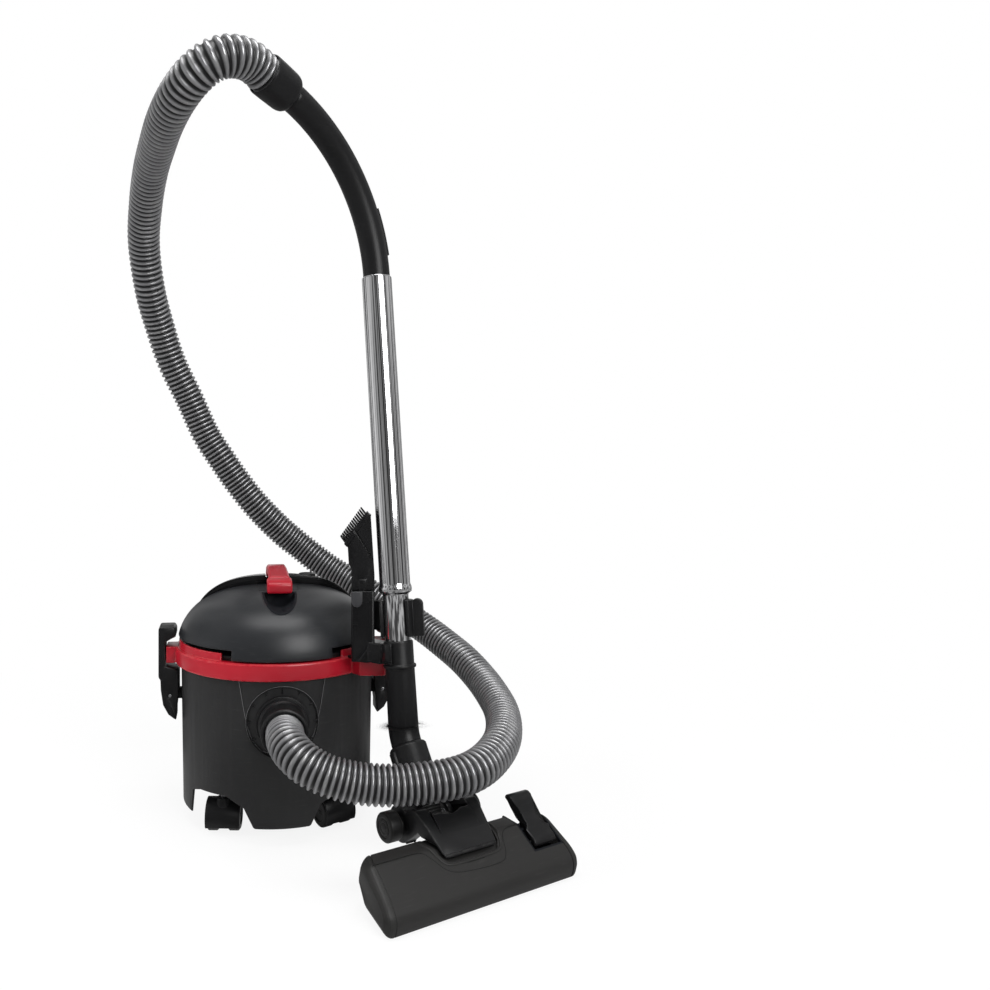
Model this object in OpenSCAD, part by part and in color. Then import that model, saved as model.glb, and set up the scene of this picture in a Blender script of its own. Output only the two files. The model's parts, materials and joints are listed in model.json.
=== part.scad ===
// Commercial tub vacuum cleaner, parked upright: tub and lid on casters, ribbed hose,
// bent handle and chrome wand, rim bracket with combination tool, and a hinged floor tool.
// Millimetres, +Z up, tub front towards -Y, floor at z = 0.

/* [Tub] */
// Radius of the tub wall at its rim
tub_r = 129; // [124:1:132]
// Height of the tub rim above the floor
rim_z = 222; // [216:1:230]
// Wall of the moulded tub
tub_wall = 3.5; // [2.5:0.5:5]
// Underside of the tub floor
deck_z = 63; // [62:1:68]
// Lower edge of the skirt's lobes
skirt_z = 21; // [16:1:30]
// Height of the red band
band_h = 21.6; // [18:0.2:24]
// Radial depth of the red band outside the tub
band_out = 7.4; // [6:0.2:10]

/* [Inlet and hose] */
// Height of the hose inlet's axis
inlet_z = 153; // [150:1:156]
// Outer diameter of the hose over its ribs
hose_d = 46; // [40:1:47]
// Bore of the hose
hose_bore = 36; // [30:1:37]
// Length of the inlet cuff outside the socket
cuff_len = 40; // [30:1:44]
// Radius of the index dial around the inlet
dial_r = 44.7; // [40:0.5:48]

/* [Lid] */
// How far the lid's skirt stands out over the tub's rim
lid_over = 5; // [4:0.5:6]
// Height of the dome over its skirt
dome_h = 75; // [72:1:80]
// Height of the rear hood over the lid's skirt
hood_h = 87; // [85:1:92]
// Width of the carrying grip
grip_w = 34; // [28:1:38]
// Height of the grip's top over the lid's skirt
grip_h = 98.5; // [97:0.5:104]

/* [Casters] */
// Radius of the twin wheels
wheel_r = 19; // [16:0.5:20]
// Width over both wheels
twin_w = 44; // [36:1:46]
// Distance of each stem from the tub's two centre planes
caster_xy = 72; // [70:1:73]

/* [Wand and handle] */
// Outer diameter of the wand
wand_d = 38; // [34:1:40]
// Length of the wand above its parking socket
wand_len = 451; // [400:1:500]
// Lean of the parked wand
wand_lean = 6.07; // [5:0.5:8]
// Outer diameter of the handle tube
handle_d = 34; // [32:0.5:34]
// Bend radius of the handle tube
handle_bend = 200; // [180:5:230]
// Angle through which the handle tube bends
handle_sweep = 74; // [66:1:76]
// Turn of the handle's bend about the wand
handle_turn = 198; // [190:1:204]
// Length of the cuff on the handle
grip_cuff = 42; // [40:1:50]

/* [Parking bracket] */
// Gap from the band to the wand's axis
park_gap = 64.6; // [64:0.2:70]
// Compass angle of the parked wand round the tub
park_az = -45.6; // [-48:0.2:-44]
// Travel of the combination tool out of its pocket
tool_travel = 80; // [72:1:90]

/* [Floor tool] */
// Width of the floor tool
head_w = 266; // [250:2:280]
// Turn of the parked floor tool from the tub's front
head_yaw = 24.24; // [22:0.5:27]
// Length from wand socket to elbow
neck_len = 118; // [114:1:120]
// Length from elbow to pivot
leg_len = 95.3; // [92:0.5:98]
// Lean of the leg below the elbow
leg_lean = 32.9; // [30:0.5:35]
// Radius of the rollers on the pivot
roller_r = 17; // [13:0.5:18]
// Travel of the brush strips below the sole
brush_travel = 4.5; // [3:0.5:5]

/* [Hidden] */

fine = 96;
mid = 48;
low = 24;
// Running clearance of a pin in its bore, and clearance between moving pieces
run = 0.05;
gap = 0.4;
// Clearance of a still piece in its seat
seat = 0.2;

// Where the tub's axis stands in the frame of the whole cleaner
tub_x = -87.5;
tub_y = 107.5;

ring_r = tub_r + band_out;
ring_z = rim_z + 4 - band_h;
ring_top = rim_z + 4;
lid_z = ring_top + 2;
lid_r = tub_r + lid_over;
tub_low_r = tub_r - 3;
wand_z = rim_z + 35.4;
wand_x = (ring_r + park_gap) * cos(park_az);
wand_y = (ring_r + park_gap) * sin(park_az);

black = [0.07, 0.07, 0.08];
grey = [0.17, 0.17, 0.18];
red = [0.65, 0.04, 0.09];
metal = [0.75, 0.76, 0.78];

// Pin or bore along X through a point
module along_x(x0, x1, r, fn = low)
  translate([x0, 0, 0])
    rotate([0, 90, 0])
      cylinder(h = x1 - x0, r = r, $fn = fn);

// Pin or bore along Y through a point
module along_y(y0, y1, r, fn = low)
  translate([0, y0, 0])
    rotate([-90, 0, 0])
      cylinder(h = y1 - y0, r = r, $fn = fn);

// Solid whose outline lies in the XZ plane, centred on Y
module slab_xz(width, points)
  translate([0, width / 2, 0])
    rotate([90, 0, 0])
      linear_extrude(width)
        polygon(points);

// Solid whose outline lies in the YZ plane, between two places on X
module slab_yz(x0, x1, points)
  translate([x0, 0, 0])
    rotate([90, 0, 90])
      linear_extrude(x1 - x0)
        polygon(points);

// Tube of a revolved wall, between two heights
module ring_solid(z0, z1, inner, outer, fn = mid)
  translate([0, 0, z0])
    rotate_extrude($fn = fn)
      translate([inner, 0])
        square([outer - inner, z1 - z0]);

// Rectangle with true arcs at its corners
module round_rect(w, d, r) {
  square([w - 2 * r, d], center = true);
  square([w, d - 2 * r], center = true);
  for (i = [-1, 1], j = [-1, 1])
    translate([i * (w / 2 - r), j * (d / 2 - r)])
      circle(r, $fn = low);
}

// Round bar bent from +Z towards +X
module bend(radius, sweep, r)
  translate([radius, 0, 0])
    rotate([90, 0, 0])
      rotate_extrude(angle = sweep, start = 180 - sweep, $fn = fine)
        translate([radius, 0])
          circle(r, $fn = mid);

// Half length of the core that ties a straight bar to a bent one
key = 2;

module rod(z0, z1, r)
  translate([0, 0, z0])
    cylinder(h = z1 - z0, r = r, $fn = mid);

// ---------- Frames ----------

module at_pole() {
  translate([wand_x, wand_y, 0])
    rotate([0, 0, head_yaw])
      children();
}

module at_wand() {
  at_pole()
    translate([0, 0, wand_z])
      rotate([-wand_lean, 0, 0])
        children();
}

// Elbow frame: +Z runs up the leg, the pivot lies leg_len below
elbow_b = -neck_len * sin(wand_lean);
elbow_z = wand_z - neck_len * cos(wand_lean);
pivot_b = elbow_b - leg_len * sin(leg_lean);
pivot_z = elbow_z - leg_len * cos(leg_lean);

module at_leg() {
  at_pole()
    translate([0, elbow_b, elbow_z])
      rotate([-leg_lean, 0, 0])
        children();
}

// Floor tool frame: +X along its width, +Y to its rear, sole on z = 0, tipped until its
// front edge meets the floor
axle_b = 117.1;
axle_z = 36.4;
toe_b = 4;
head_tip = asin(pivot_z / norm([axle_b - toe_b, axle_z])) - atan2(axle_z, axle_b - toe_b);

module at_head() {
  at_pole()
    translate([0, pivot_b, pivot_z])
      rotate([head_tip, 0, 0])
        translate([0, -axle_b, -axle_z])
          children();
}

module at_handle() {
  at_wand()
    translate([0, 0, wand_len])
      rotate([0, 0, handle_turn])
        children();
}

module at_handle_end() {
  at_handle()
    translate([handle_bend * (1 - cos(handle_sweep)), 0, handle_bend * sin(handle_sweep)])
      rotate([0, handle_sweep, 0])
        children();
}

module each_side() {
  children();
  mirror([1, 0, 0])
    children();
}

// ---------- Tub ----------

arch_az = 42;
lug_z = inlet_z + 8;
latch_pin_r = 2;
latch_w = 36;
bag_r = tub_r - 47;
filter_r = tub_r - 19;
lug_r = tub_r + 14;
bush_r = 7;
stem_r = 4;
well_r = caster_xy * sqrt(2) - 39.5;
socket_r = 27;

module wheel_arch()
  translate([tub_r - 34, 0, skirt_z])
    rotate([90, 0, 90])
      linear_extrude(60)
        polygon([[-56, -2], [-43, 25], [-20, 37], [24, 36], [42, 31], [48, -2]]);

module shield_outline(inset)
  polygon([[-55.6 + inset, ring_z - inlet_z + 12], [-45.8 + inset, 4], [-39 + inset, -21],
    [-24 + inset / 2, -37 + inset], [24 - inset / 2, -37 + inset], [39 - inset, -21],
    [45.8 - inset, 4], [55.6 - inset, ring_z - inlet_z + 12]]);

module latch_lug() {
  translate([lug_r, 0, lug_z])
    along_y(-5, 5, 7);
  translate([tub_low_r - 1, -5, lug_z - 7])
    cube([lug_r - tub_low_r + 1, 10, 14]);
}

module tub_shell() color(grey) difference() {
  union() {
    rotate_extrude($fn = fine)
      polygon([[tub_low_r - 1.5, skirt_z], [tub_low_r, skirt_z + 2], [tub_r, rim_z],
        [tub_r - tub_wall, rim_z], [tub_low_r - tub_wall, deck_z + 4], [0, deck_z + 4],
        [0, deck_z], [tub_low_r - tub_wall, deck_z], [tub_low_r - tub_wall, skirt_z]]);
    ring_solid(rim_z - 26, rim_z - 23, tub_r - 11, tub_r - 2, fine);
    ring_solid(skirt_z + 4, deck_z + 1, well_r - 2.5, well_r, fine);
    each_side()
      latch_lug();
  }
  for (a = [-90, 90])
    rotate([0, 0, a]) {
      rotate([0, 0, arch_az])
        wheel_arch();
      mirror([0, 1, 0])
        rotate([0, 0, arch_az])
          wheel_arch();
    }
  translate([0, 0, inlet_z])
    along_y(-tub_r - 20, -tub_r + 30, socket_r + seat, mid);
  intersection() {
    ring_solid(60, rim_z, tub_r - 1.9, tub_r + 2, fine);
    translate([0, -60, inlet_z])
      rotate([90, 0, 0])
        linear_extrude(90)
          difference() {
            shield_outline(0);
            shield_outline(1.6);
          }
  }
  for (i = [-1, 1], j = [-1, 1])
    translate([i * caster_xy, j * caster_xy, deck_z - 1])
      cylinder(h = 10, r = bush_r, $fn = low);
  for (s = [-1, 1])
    translate([s * lug_r, 0, lug_z])
      along_y(-30, 30, latch_pin_r);
}

module red_band() color(red) difference() {
  union() {
    rotate_extrude($fn = fine)
      polygon([[tub_r + seat, ring_z], [ring_r - 1.5, ring_z], [ring_r, ring_z + 1.5],
        [ring_r, ring_top - 1.5], [ring_r - 1.5, ring_top], [tub_r - 6, ring_top],
        [tub_r - 6, rim_z], [tub_r + seat, rim_z]]);
    for (a = [-55, 125])
      translate([0, 0, ring_top - 1])
        rotate_extrude(angle = 110, start = a, $fn = fine)
          translate([lid_r - 6, 0])
            square([3.6, 10.5]);
    for (s = [-1, 1])
      translate([s * (ring_r + 3.8), 0, ring_z + band_h / 2])
        cube([15.6, 34, band_h], center = true);
    rotate([0, 0, park_az - 2.4])
      translate([ring_r, 0, ring_z])
        linear_extrude(band_h)
          polygon([[-4, -4], [0.4, -3], [15.4, -6.2], [38.5, 13.4], [35.2, 35], [-7, 45]]);
  }
  translate([0, 0, ring_z - 1])
    cylinder(h = rim_z - ring_z + 1, r = tub_r + seat, $fn = fine);
}

// Raised index ring moulded round the inlet, with its marks
module inlet_dial() color(black) intersection() {
  ring_solid(80, rim_z, tub_r - 1.2, tub_r + 1.4, fine);
  translate([0, -60, inlet_z])
    rotate([90, 0, 0])
      linear_extrude(90) {
        difference() {
          circle(dial_r, $fn = mid);
          circle(dial_r - 1.5, $fn = mid);
        }
        for (a = [-120 : 30 : 120])
          rotate(a)
            translate([-0.8, dial_r - (a == 0 ? 8.5 : 5.5)])
              square([1.6, a == 0 ? 7.5 : 4.5]);
      }
}

module inlet_socket() color(black) translate([0, 0, inlet_z]) difference() {
  union() {
    along_y(-tub_r - 4, -tub_r + 40, socket_r, mid);
    along_y(-tub_r - 4, -tub_r - 0.1, 33, mid);
  }
  along_y(-tub_r - 5, -tub_r + 24, socket_r - 3, mid);
  along_y(-tub_r, -tub_r + 41, socket_r - 6, mid);
}

module inlet_seal() color([0.05, 0.05, 0.05]) translate([0, 0, inlet_z]) difference() {
  along_y(-tub_r + 41, -tub_r + 44, 34, mid);
  along_y(-tub_r + 40, -tub_r + 45, socket_r - 6, mid);
}

module latch_pins() color(metal)
  for (s = [-1, 1])
    translate([s * lug_r, 0, lug_z])
      along_y(-latch_w / 2 + 0.2, latch_w / 2 - 0.2, latch_pin_r);

// Clip that hooks over the lid's rim, forked round the tub's lug; its nose stops just short
// of the rim
latch_out = tub_r + 29;
module latch() color(black) difference() {
  slab_xz(latch_w, [[lid_r + 1.2, lid_z + 11], [lid_r + 1.2, lid_z + 20], [lid_r + 4, lid_z + 24],
    [latch_out - 2, lid_z + 24], [latch_out, lid_z + 22], [latch_out, ring_z - 19],
    [latch_out - 2.5, ring_z - 22], [latch_out - 3, lug_z + 8], [latch_out - 6, lug_z - 12],
    [latch_out - 13, lug_z - 25], [tub_r + 7, lug_z - 32], [tub_r + 5.6, lug_z - 31],
    [tub_r + 5.6, lug_z - 20], [tub_r + 2.5, lug_z + 4], [tub_r + 2.5, ring_z - 10],
    [ring_r + 12.6, ring_z - 4], [ring_r + 12.6, lid_z + 4], [lid_r + 6, lid_z + 9]]);
  translate([lug_r, 0, lug_z])
    along_y(-30, 30, latch_pin_r + run);
  translate([lug_r - 30, -5 - gap, lug_z - 9.6])
    cube([38.2, 10 + 2 * gap, 19.2]);
}

module stem_bushes() color(black)
  for (i = [-1, 1], j = [-1, 1])
    translate([i * caster_xy, j * caster_xy, 0]) {
      ring_solid(deck_z, deck_z + 20, stem_r + run, bush_r, low);
      translate([0, 0, deck_z + 19])
        cylinder(h = 2, r = bush_r, $fn = low);
    }

module dust_bag() color([0.75, 0.7, 0.6])
  rotate_extrude($fn = mid)
    polygon([[0, deck_z + 6], [bag_r - 22, deck_z + 6], [bag_r - 4, deck_z + 16],
      [bag_r, deck_z + 50], [bag_r - 4, rim_z - 57], [bag_r - 22, rim_z - 40], [0, rim_z - 38]]);

module bag_card() color([0.6, 0.5, 0.35]) difference() {
  translate([-socket_r - 13, -tub_r + 44, inlet_z - socket_r - 9])
    cube([2 * socket_r + 26, 2.5, 2 * socket_r + 8]);
  translate([0, 0, inlet_z])
    along_y(-tub_r + 40, -tub_r + 50, socket_r - 6, mid);
}

module filter_frame() color(black) difference() {
  ring_solid(rim_z - 23, rim_z - 6, filter_r - 6, tub_r - 6, fine);
  ring_solid(rim_z - 19, rim_z - 5, filter_r - 7, filter_r, fine);
}

module filter_media() color([0.9, 0.9, 0.88])
  translate([0, 0, rim_z - 19])
    linear_extrude(14)
      polygon([for (i = [0 : 95]) (i % 2 == 0 ? filter_r - seat : filter_r - 7) * [cos(i * 3.75), sin(i * 3.75)]]);

// ---------- Casters ----------

trail = 8;
web_w = 7;
inner_w = 12;

// Each caster stands turned as it came to rest
function caster_turn(i, j) = 180 + 18 * i - 9 * j;
module at_caster(i, j)
  translate([i * caster_xy, j * caster_xy, 0])
    rotate([0, 0, caster_turn(i, j)])
      children();

module caster_stem() color(metal)
  translate([0, 0, wheel_r + 6])
    cylinder(h = deck_z + 18.5 - wheel_r - 6, r = stem_r, $fn = low);

module caster_hood() color(black) difference() {
  union() {
    translate([0, -trail, wheel_r])
      along_x(-web_w / 2, web_w / 2, wheel_r - 4, mid);
    translate([0, 0, wheel_r + 2])
      cylinder(h = wheel_r + 5, r = 8.5, $fn = low);
    translate([0, -trail, wheel_r])
      rotate([0, 90, 0])
        translate([0, 0, -twin_w / 2])
          rotate_extrude(angle = 182, start = 62, $fn = mid)
            translate([wheel_r + 0.8, 0])
              square([2.4, twin_w]);
    translate([-web_w / 2, -trail - 12, wheel_r + 6])
      cube([web_w, 24, wheel_r - 4]);
  }
  translate([0, -trail, wheel_r])
    along_x(-web_w, web_w, 2.5 + run);
  for (s = [-1, 1])
    translate([s * (twin_w / 4 + inner_w / 4 + 0.1), -trail, wheel_r])
      along_x(-(twin_w - inner_w) / 4 - 0.3, (twin_w - inner_w) / 4 + 0.6, wheel_r + 0.7, mid);
  translate([0, 0, wheel_r + 6])
    cylinder(h = 60, r = stem_r, $fn = low);
}

module twin_wheel() color(black)
  translate([0, -trail, wheel_r]) {
    along_x(-twin_w / 2 + 1, twin_w / 2 - 1, 2.5);
    for (s = [-1, 1])
      rotate([0, s * 90, 0])
        rotate_extrude($fn = mid)
          polygon([[0, inner_w / 2], [wheel_r - 2, inner_w / 2], [wheel_r, inner_w / 2 + 2],
            [wheel_r, twin_w / 2 - 3], [wheel_r - 3, twin_w / 2 - 0.5], [12, twin_w / 2 - 0.5],
            [11, twin_w / 2 - 2], [0, twin_w / 2 - 2]]);
  }

// ---------- Lid ----------

// Radius and height of a dome's surface at a step of its quarter turn
function dome_point(r, h, n, m, t) = [r * pow(cos(t), 2 / n), lid_z + h * pow(sin(t), 2 / m)];
function dome_line(r, h, n, m, steps = 22) =
  [for (i = [0 : steps]) dome_point(r, h, n, m, 90 * i / steps)];

module dome_solid(r, h, n, m)
  rotate_extrude($fn = fine)
    polygon(concat([[0, lid_z]], dome_line(r, h, n, m)));

skin = 3;
hood_y = 12;
scoop_r = 20;
scoop_z = lid_z + dome_h;
scoop_y0 = -115;
scoop_y1 = -50;
recess_w = 48;
recess_z = lid_z + grip_h - 35;
grille_w = 90;
button_x = 44;
button_y = 36;
button_r = 12;
button_travel = 3;

module scoop(grow)
  translate([0, 0, scoop_z])
    along_y(scoop_y0 - 30, scoop_y1 + grow, scoop_r + grow, mid);

module hand_recess(grow)
  translate([-recess_w / 2 - grow, -36 - grow, recess_z - grow])
    cube([recess_w + 2 * grow, 88 + 2 * grow, 60]);

module grille_window()
  translate([-grille_w / 2, 60, lid_z + 16])
    cube([grille_w, 90, 26]);

module lid_dome() color(grey) difference() {
  dome_solid(lid_r, dome_h, 3, 1.9);
  difference() {
    translate([0, 0, -0.01])
      dome_solid(lid_r - skin, dome_h - skin, 3, 1.9);
    translate([-26, -140, lid_z + 36])
      cube([52, 92, 50]);
    translate([-28, -50, recess_z - 5])
      cube([56, 106, 40]);
    for (a = [45 : 90 : 315])
      rotate([0, 0, a])
        translate([104, 0, lid_z + 4])
          cylinder(h = 50, r = 6, $fn = low);
  }
  for (a = [-62, 118])
    translate([0, 0, lid_z - 1])
      rotate_extrude(angle = 124, start = a, $fn = fine)
        translate([lid_r - 12, 0])
          square([20, 13]);
  scoop(2.5);
  hand_recess(2);
  grille_window();
  translate([0, 0, lid_z - 1])
    cylinder(h = 5, r = tub_r - 2 + seat, $fn = fine);
  translate([-60, 90, lid_z + 27])
    along_y(0, 60, 8, low);
}

module rear_hood() color(black) difference() {
  intersection() {
    dome_solid(tub_r - 11, hood_h, 3, 2.5);
    translate([-150, hood_y, lid_z])
      cube([300, 200, 120]);
  }
  dome_solid(lid_r, dome_h, 3, 1.9);
  hand_recess(2);
  translate([button_x, button_y, lid_z + hood_h - 11.5])
    cylinder(h = 40, r = button_r + gap, $fn = mid);
}

module grip_well() color([0.04, 0.04, 0.04]) intersection() {
  dome_solid(lid_r, dome_h, 3, 1.9);
  difference() {
    union() {
      scoop(2.5);
      hand_recess(2);
    }
    scoop(0);
    hand_recess(0);
  }
}

module grip() color(red)
  translate([0, 0, lid_z])
    slab_yz(-grip_w / 2, grip_w / 2, [[-66, grip_h - 25.5], [-52, grip_h - 26.5],
      [-46, grip_h - 26.8], [-37.5, grip_h - 25], [-34, grip_h - 17], [-22, grip_h - 11],
      [50, grip_h - 10.5], [56, grip_h - 12], [60, hood_h - 8], [75, hood_h - 12],
      [77, hood_h - 4], [68, grip_h - 6], [40, grip_h - 0.5], [10, grip_h], [-20, grip_h - 2],
      [-44, grip_h - 5], [-60, grip_h - 9], [-67, grip_h - 13.5]]);

module exhaust_grille() color(black) difference() {
  intersection() {
    difference() {
      dome_solid(lid_r, dome_h, 3, 1.9);
      dome_solid(lid_r - skin, dome_h - skin, 3, 1.9);
    }
    grille_window();
  }
  for (i = [-5 : 5])
    translate([i * 7.6 - 2, 50, lid_z + 19])
      cube([4, 100, 20]);
}

module switch_button() color(red)
  translate([button_x, button_y, lid_z + hood_h - 11.5 + button_travel + gap])
    cylinder(h = 6.5, r = button_r, $fn = mid);

module cord_gland() color(black) translate([-60, 0, lid_z + 27]) difference() {
  union() {
    along_y(102, 122, 7.8, low);
    along_y(122, 128, 10, low);
  }
  along_y(100, 130, 4, low);
}

module lid_base() color(black) difference() {
  union() {
    ring_solid(lid_z, lid_z + 4, 0, tub_r - 2, fine);
    for (a = [45 : 90 : 315])
      rotate([0, 0, a])
        translate([104, 0, lid_z - 2])
          cylinder(h = 4, r = 4, $fn = low);
  }
  translate([0, 0, lid_z - 5])
    cylinder(h = 20, r = 24, $fn = mid);
}

module lid_gasket() color([0.05, 0.05, 0.05])
  ring_solid(ring_top + 0.3, lid_z, tub_r - 9, tub_r - 3, fine);

module fan_housing() color(metal) difference() {
  ring_solid(lid_z + 4, lid_z + 26, 0, 66, mid);
  ring_solid(lid_z + 6, lid_z + 24, 0, 63.5, mid);
  translate([0, 0, lid_z])
    cylinder(h = 10, r = 24, $fn = mid);
  translate([0, 0, lid_z + 20])
    cylinder(h = 10, r = 5, $fn = low);
  for (a = [0 : 30 : 330])
    rotate([0, 0, a])
      translate([60, -4, lid_z + 10])
        cube([8, 8, 10]);
}

module impeller() color(metal) translate([0, 0, lid_z]) {
  ring_solid(8, 9.5, 20, 60, mid);
  ring_solid(20, 21.5, 0, 60, mid);
  cylinder(h = 21, r = 8, $fn = low);
  translate([0, 0, 20])
    cylinder(h = 12, r = 4.5, $fn = low);
  for (a = [0 : 40 : 320])
    rotate([0, 0, a])
      translate([21, 0, 9])
        rotate([0, 0, 35])
          cube([38, 1.2, 11.5]);
}

module motor() color([0.3, 0.3, 0.32]) difference() {
  union() {
    ring_solid(lid_z + 26, lid_z + 52, 0, 42, mid);
    ring_solid(lid_z + 52, recess_z - 7, 0, 24, mid);
  }
  translate([0, 0, lid_z + 20])
    cylinder(h = 14, r = 6, $fn = low);
}

// ---------- Hose ----------

cuff_face = -tub_r - 4 - cuff_len;
hose_seat = 22;

module inlet_cuff() color(black) translate([0, 0, inlet_z]) rotate([90, 0, 0]) difference() {
  rotate_extrude($fn = mid)
    polygon([[0, tub_r - 22], [socket_r - 3 - gap, tub_r - 22], [socket_r - 3 - gap, tub_r + 4 + gap],
      [30, tub_r + 4 + gap], [30.5, tub_r + 10], [28, tub_r + 14], [27.4, -cuff_face - 10],
      [28.6, -cuff_face - 8], [28.6, -cuff_face - 1.5], [27, -cuff_face], [0, -cuff_face]]);
  translate([0, 0, tub_r - 30])
    cylinder(h = 100, r = hose_bore / 2, $fn = mid);
  translate([0, 0, -cuff_face - hose_seat])
    cylinder(h = hose_seat + 1, r = hose_d / 2 + 2 * gap, $fn = mid);
}

// Route of the hose's centre line round the tub's axis: out of the inlet, round the right
// side, up behind the lid and forward to the handle
hose_route = [[0, -151.5, 153], [0, -174, 153], [0, -197, 152.6], [5, -217, 148], [18, -233, 139],
  [42, -243, 128], [76, -247, 119], [116, -248, 115], [157, -247, 116], [188, -242, 118],
  [214, -230, 121], [240, -204, 125], [263, -170, 131], [280, -127, 136], [290, -83, 143],
  [292, -43, 151], [289, 3, 162], [277, 45, 178], [262, 82, 191], [232, 127, 213],
  [185, 163, 242], [126, 196, 277], [89, 211, 300], [48, 222, 332], [17, 221, 358],
  [-21, 216, 397], [-52, 215, 436], [-78, 213, 474], [-102, 211, 512], [-128, 205, 569],
  [-154, 193, 624], [-171, 175, 677], [-183, 146, 727], [-188, 104, 787], [-180, 45, 829],
  [-168, -20, 855], [-154, -85, 868], [-140, -145, 877], [-123, -193, 888], [-104, -222, 901],
  [-84, -234, 913], [-63.5, -232, 920.5], [-42.5, -219.5, 921.9], [-25.8, -205.3, 914.9],
  [-9.1, -191.1, 907.9]];
rib_count = 200;
rib_depth = 2.6;
sides = 8;

function spline(p, k, t) =
  let (a = p[max(k - 1, 0)], b = p[k], c = p[k + 1], d = p[min(k + 2, len(p) - 1)])
    0.5 * (2 * b + (c - a) * t + (2 * a - 5 * b + 4 * c - d) * t * t
      + (3 * b - a - 3 * c + d) * t * t * t);

steps_per_span = 10;
hose_curve = [for (k = [0 : len(hose_route) - 2], i = [0 : steps_per_span - 1])
  spline(hose_route, k, i / steps_per_span), hose_route[len(hose_route) - 1]];
hose_run = [for (i = 0, s = 0; i < len(hose_curve);
  s = s + (i + 1 < len(hose_curve) ? norm(hose_curve[i + 1] - hose_curve[i]) : 0), i = i + 1) s];
hose_len = hose_run[len(hose_run) - 1];

function table(axis) = [for (i = [0 : len(hose_run) - 1]) [hose_run[i], hose_curve[i][axis]]];
table_x = table(0);
table_y = table(1);
table_z = table(2);
function hose_at(s) = [lookup(s, table_x), lookup(s, table_y), lookup(s, table_z)];
function unit(v) = v / norm(v);
function hose_dir(s) = unit(hose_at(min(s + 2, hose_len)) - hose_at(max(s - 2, 0)));

rings = 2 * rib_count + 1;
// Side vector carried along the route without twist
side_vectors = [for (i = 0, n = unit(cross(hose_dir(0), [0, 0, 1])); i < rings;
  i = i + 1, n = let (t = hose_dir(hose_len * min(i, rings - 1) / (rings - 1)))
    unit(n - (n * t) * t)) n];

function ring_points(i, r) =
  let (s = hose_len * i / (rings - 1), c = hose_at(s), t = hose_dir(s), n = side_vectors[i],
    m = cross(t, n))
    [for (j = [0 : sides - 1]) c + r * (cos(360 * j / sides) * n + sin(360 * j / sides) * m)];

bore_every = 8;

// Two triangles for each square of a wall of rings, and of a cap between two rings
function quad(a, b, c, d, flip) = flip ? [[a, b, c], [b, d, c]] : [[a, c, b], [b, c, d]];
function wall(o, count, flip) = [for (i = [0 : count - 2], j = [0 : sides - 1])
  each quad(o + i * sides + j, o + i * sides + (j + 1) % sides,
    o + (i + 1) * sides + j, o + (i + 1) * sides + (j + 1) % sides, flip)];
function cap(o, q, flip) = [for (j = [0 : sides - 1])
  each quad(o + j, o + (j + 1) % sides, q + j, q + (j + 1) % sides, flip)];
hose_outer = [for (i = [0 : rings - 1])
  each ring_points(i, hose_d / 2 - (i % 2 == 0 ? rib_depth : 0))];
hose_inner = [for (i = [0 : bore_every : rings - 1]) each ring_points(i, hose_bore / 2)];
inner_rings = len(hose_inner) / sides;
inner_start = len(hose_outer);

module hose() color([0.45, 0.45, 0.47])
  polyhedron(
    points = concat(hose_outer, hose_inner),
    faces = concat(wall(0, rings, false), wall(inner_start, inner_rings, true),
      cap(0, inner_start, true),
      cap(inner_start - sides, inner_start + (inner_rings - 1) * sides, false)));

// ---------- Handle and wand ----------

spigot = 40;
cuff_seat = 10;
handle_wall = 2.8;
// Step between the bent tube and its straight ends
step = 0.35;
slider_from = 22;
slider_sweep = 16;
slot_z = 24;

module handle_cuff() color(black) at_handle_end() difference() {
  rotate_extrude($fn = mid)
    polygon([[0, 0], [handle_d / 2 + 3, 0], [hose_d / 2 - 0.6, 10], [hose_d / 2 + 1.6, 16],
      [hose_d / 2 + 2, grip_cuff - 9], [hose_d / 2 + 3.4, grip_cuff - 8],
      [hose_d / 2 + 3.4, grip_cuff - 2], [hose_d / 2 + 2, grip_cuff], [0, grip_cuff]]);
  rod(-1, cuff_seat, handle_d / 2 - step);
  rod(0, 80, hose_bore / 2 - 4);
  translate([0, 0, grip_cuff - hose_seat])
    cylinder(h = hose_seat + 1, r = hose_d / 2 + gap, $fn = mid);
  rotate([0, 0, 180])
    translate([hose_d / 2 - 1, 0, grip_cuff - 14])
      along_x(0, 10, 2.2);
}

module handle_tube() color(black) difference() {
  union() {
    at_handle()
      translate([handle_bend, 0, 0])
        rotate([90, 0, 0])
          rotate_extrude(angle = handle_sweep, start = 180 - handle_sweep, $fn = fine)
            translate([handle_bend, 0])
              difference() {
                circle(handle_d / 2, $fn = mid);
                circle(handle_d / 2 - handle_wall, $fn = mid);
              }
    at_wand()
      ring_solid(wand_len - spigot, wand_len + key, handle_d / 2 - handle_wall + step, handle_d / 2 - step);
    at_handle_end()
      ring_solid(-key, cuff_seat, handle_d / 2 - handle_wall + step, handle_d / 2 - step);
  }
  at_handle()
    for (t = [4, 6.5, 9])
      translate([handle_bend, 0, 0])
        rotate([0, t, 0])
          translate([-handle_bend, 0, 0])
            rotate([0, 0, 200])
              translate([handle_d / 2 - 1, -7, -0.6])
                cube([4, 14, 1.2]);
}

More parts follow.
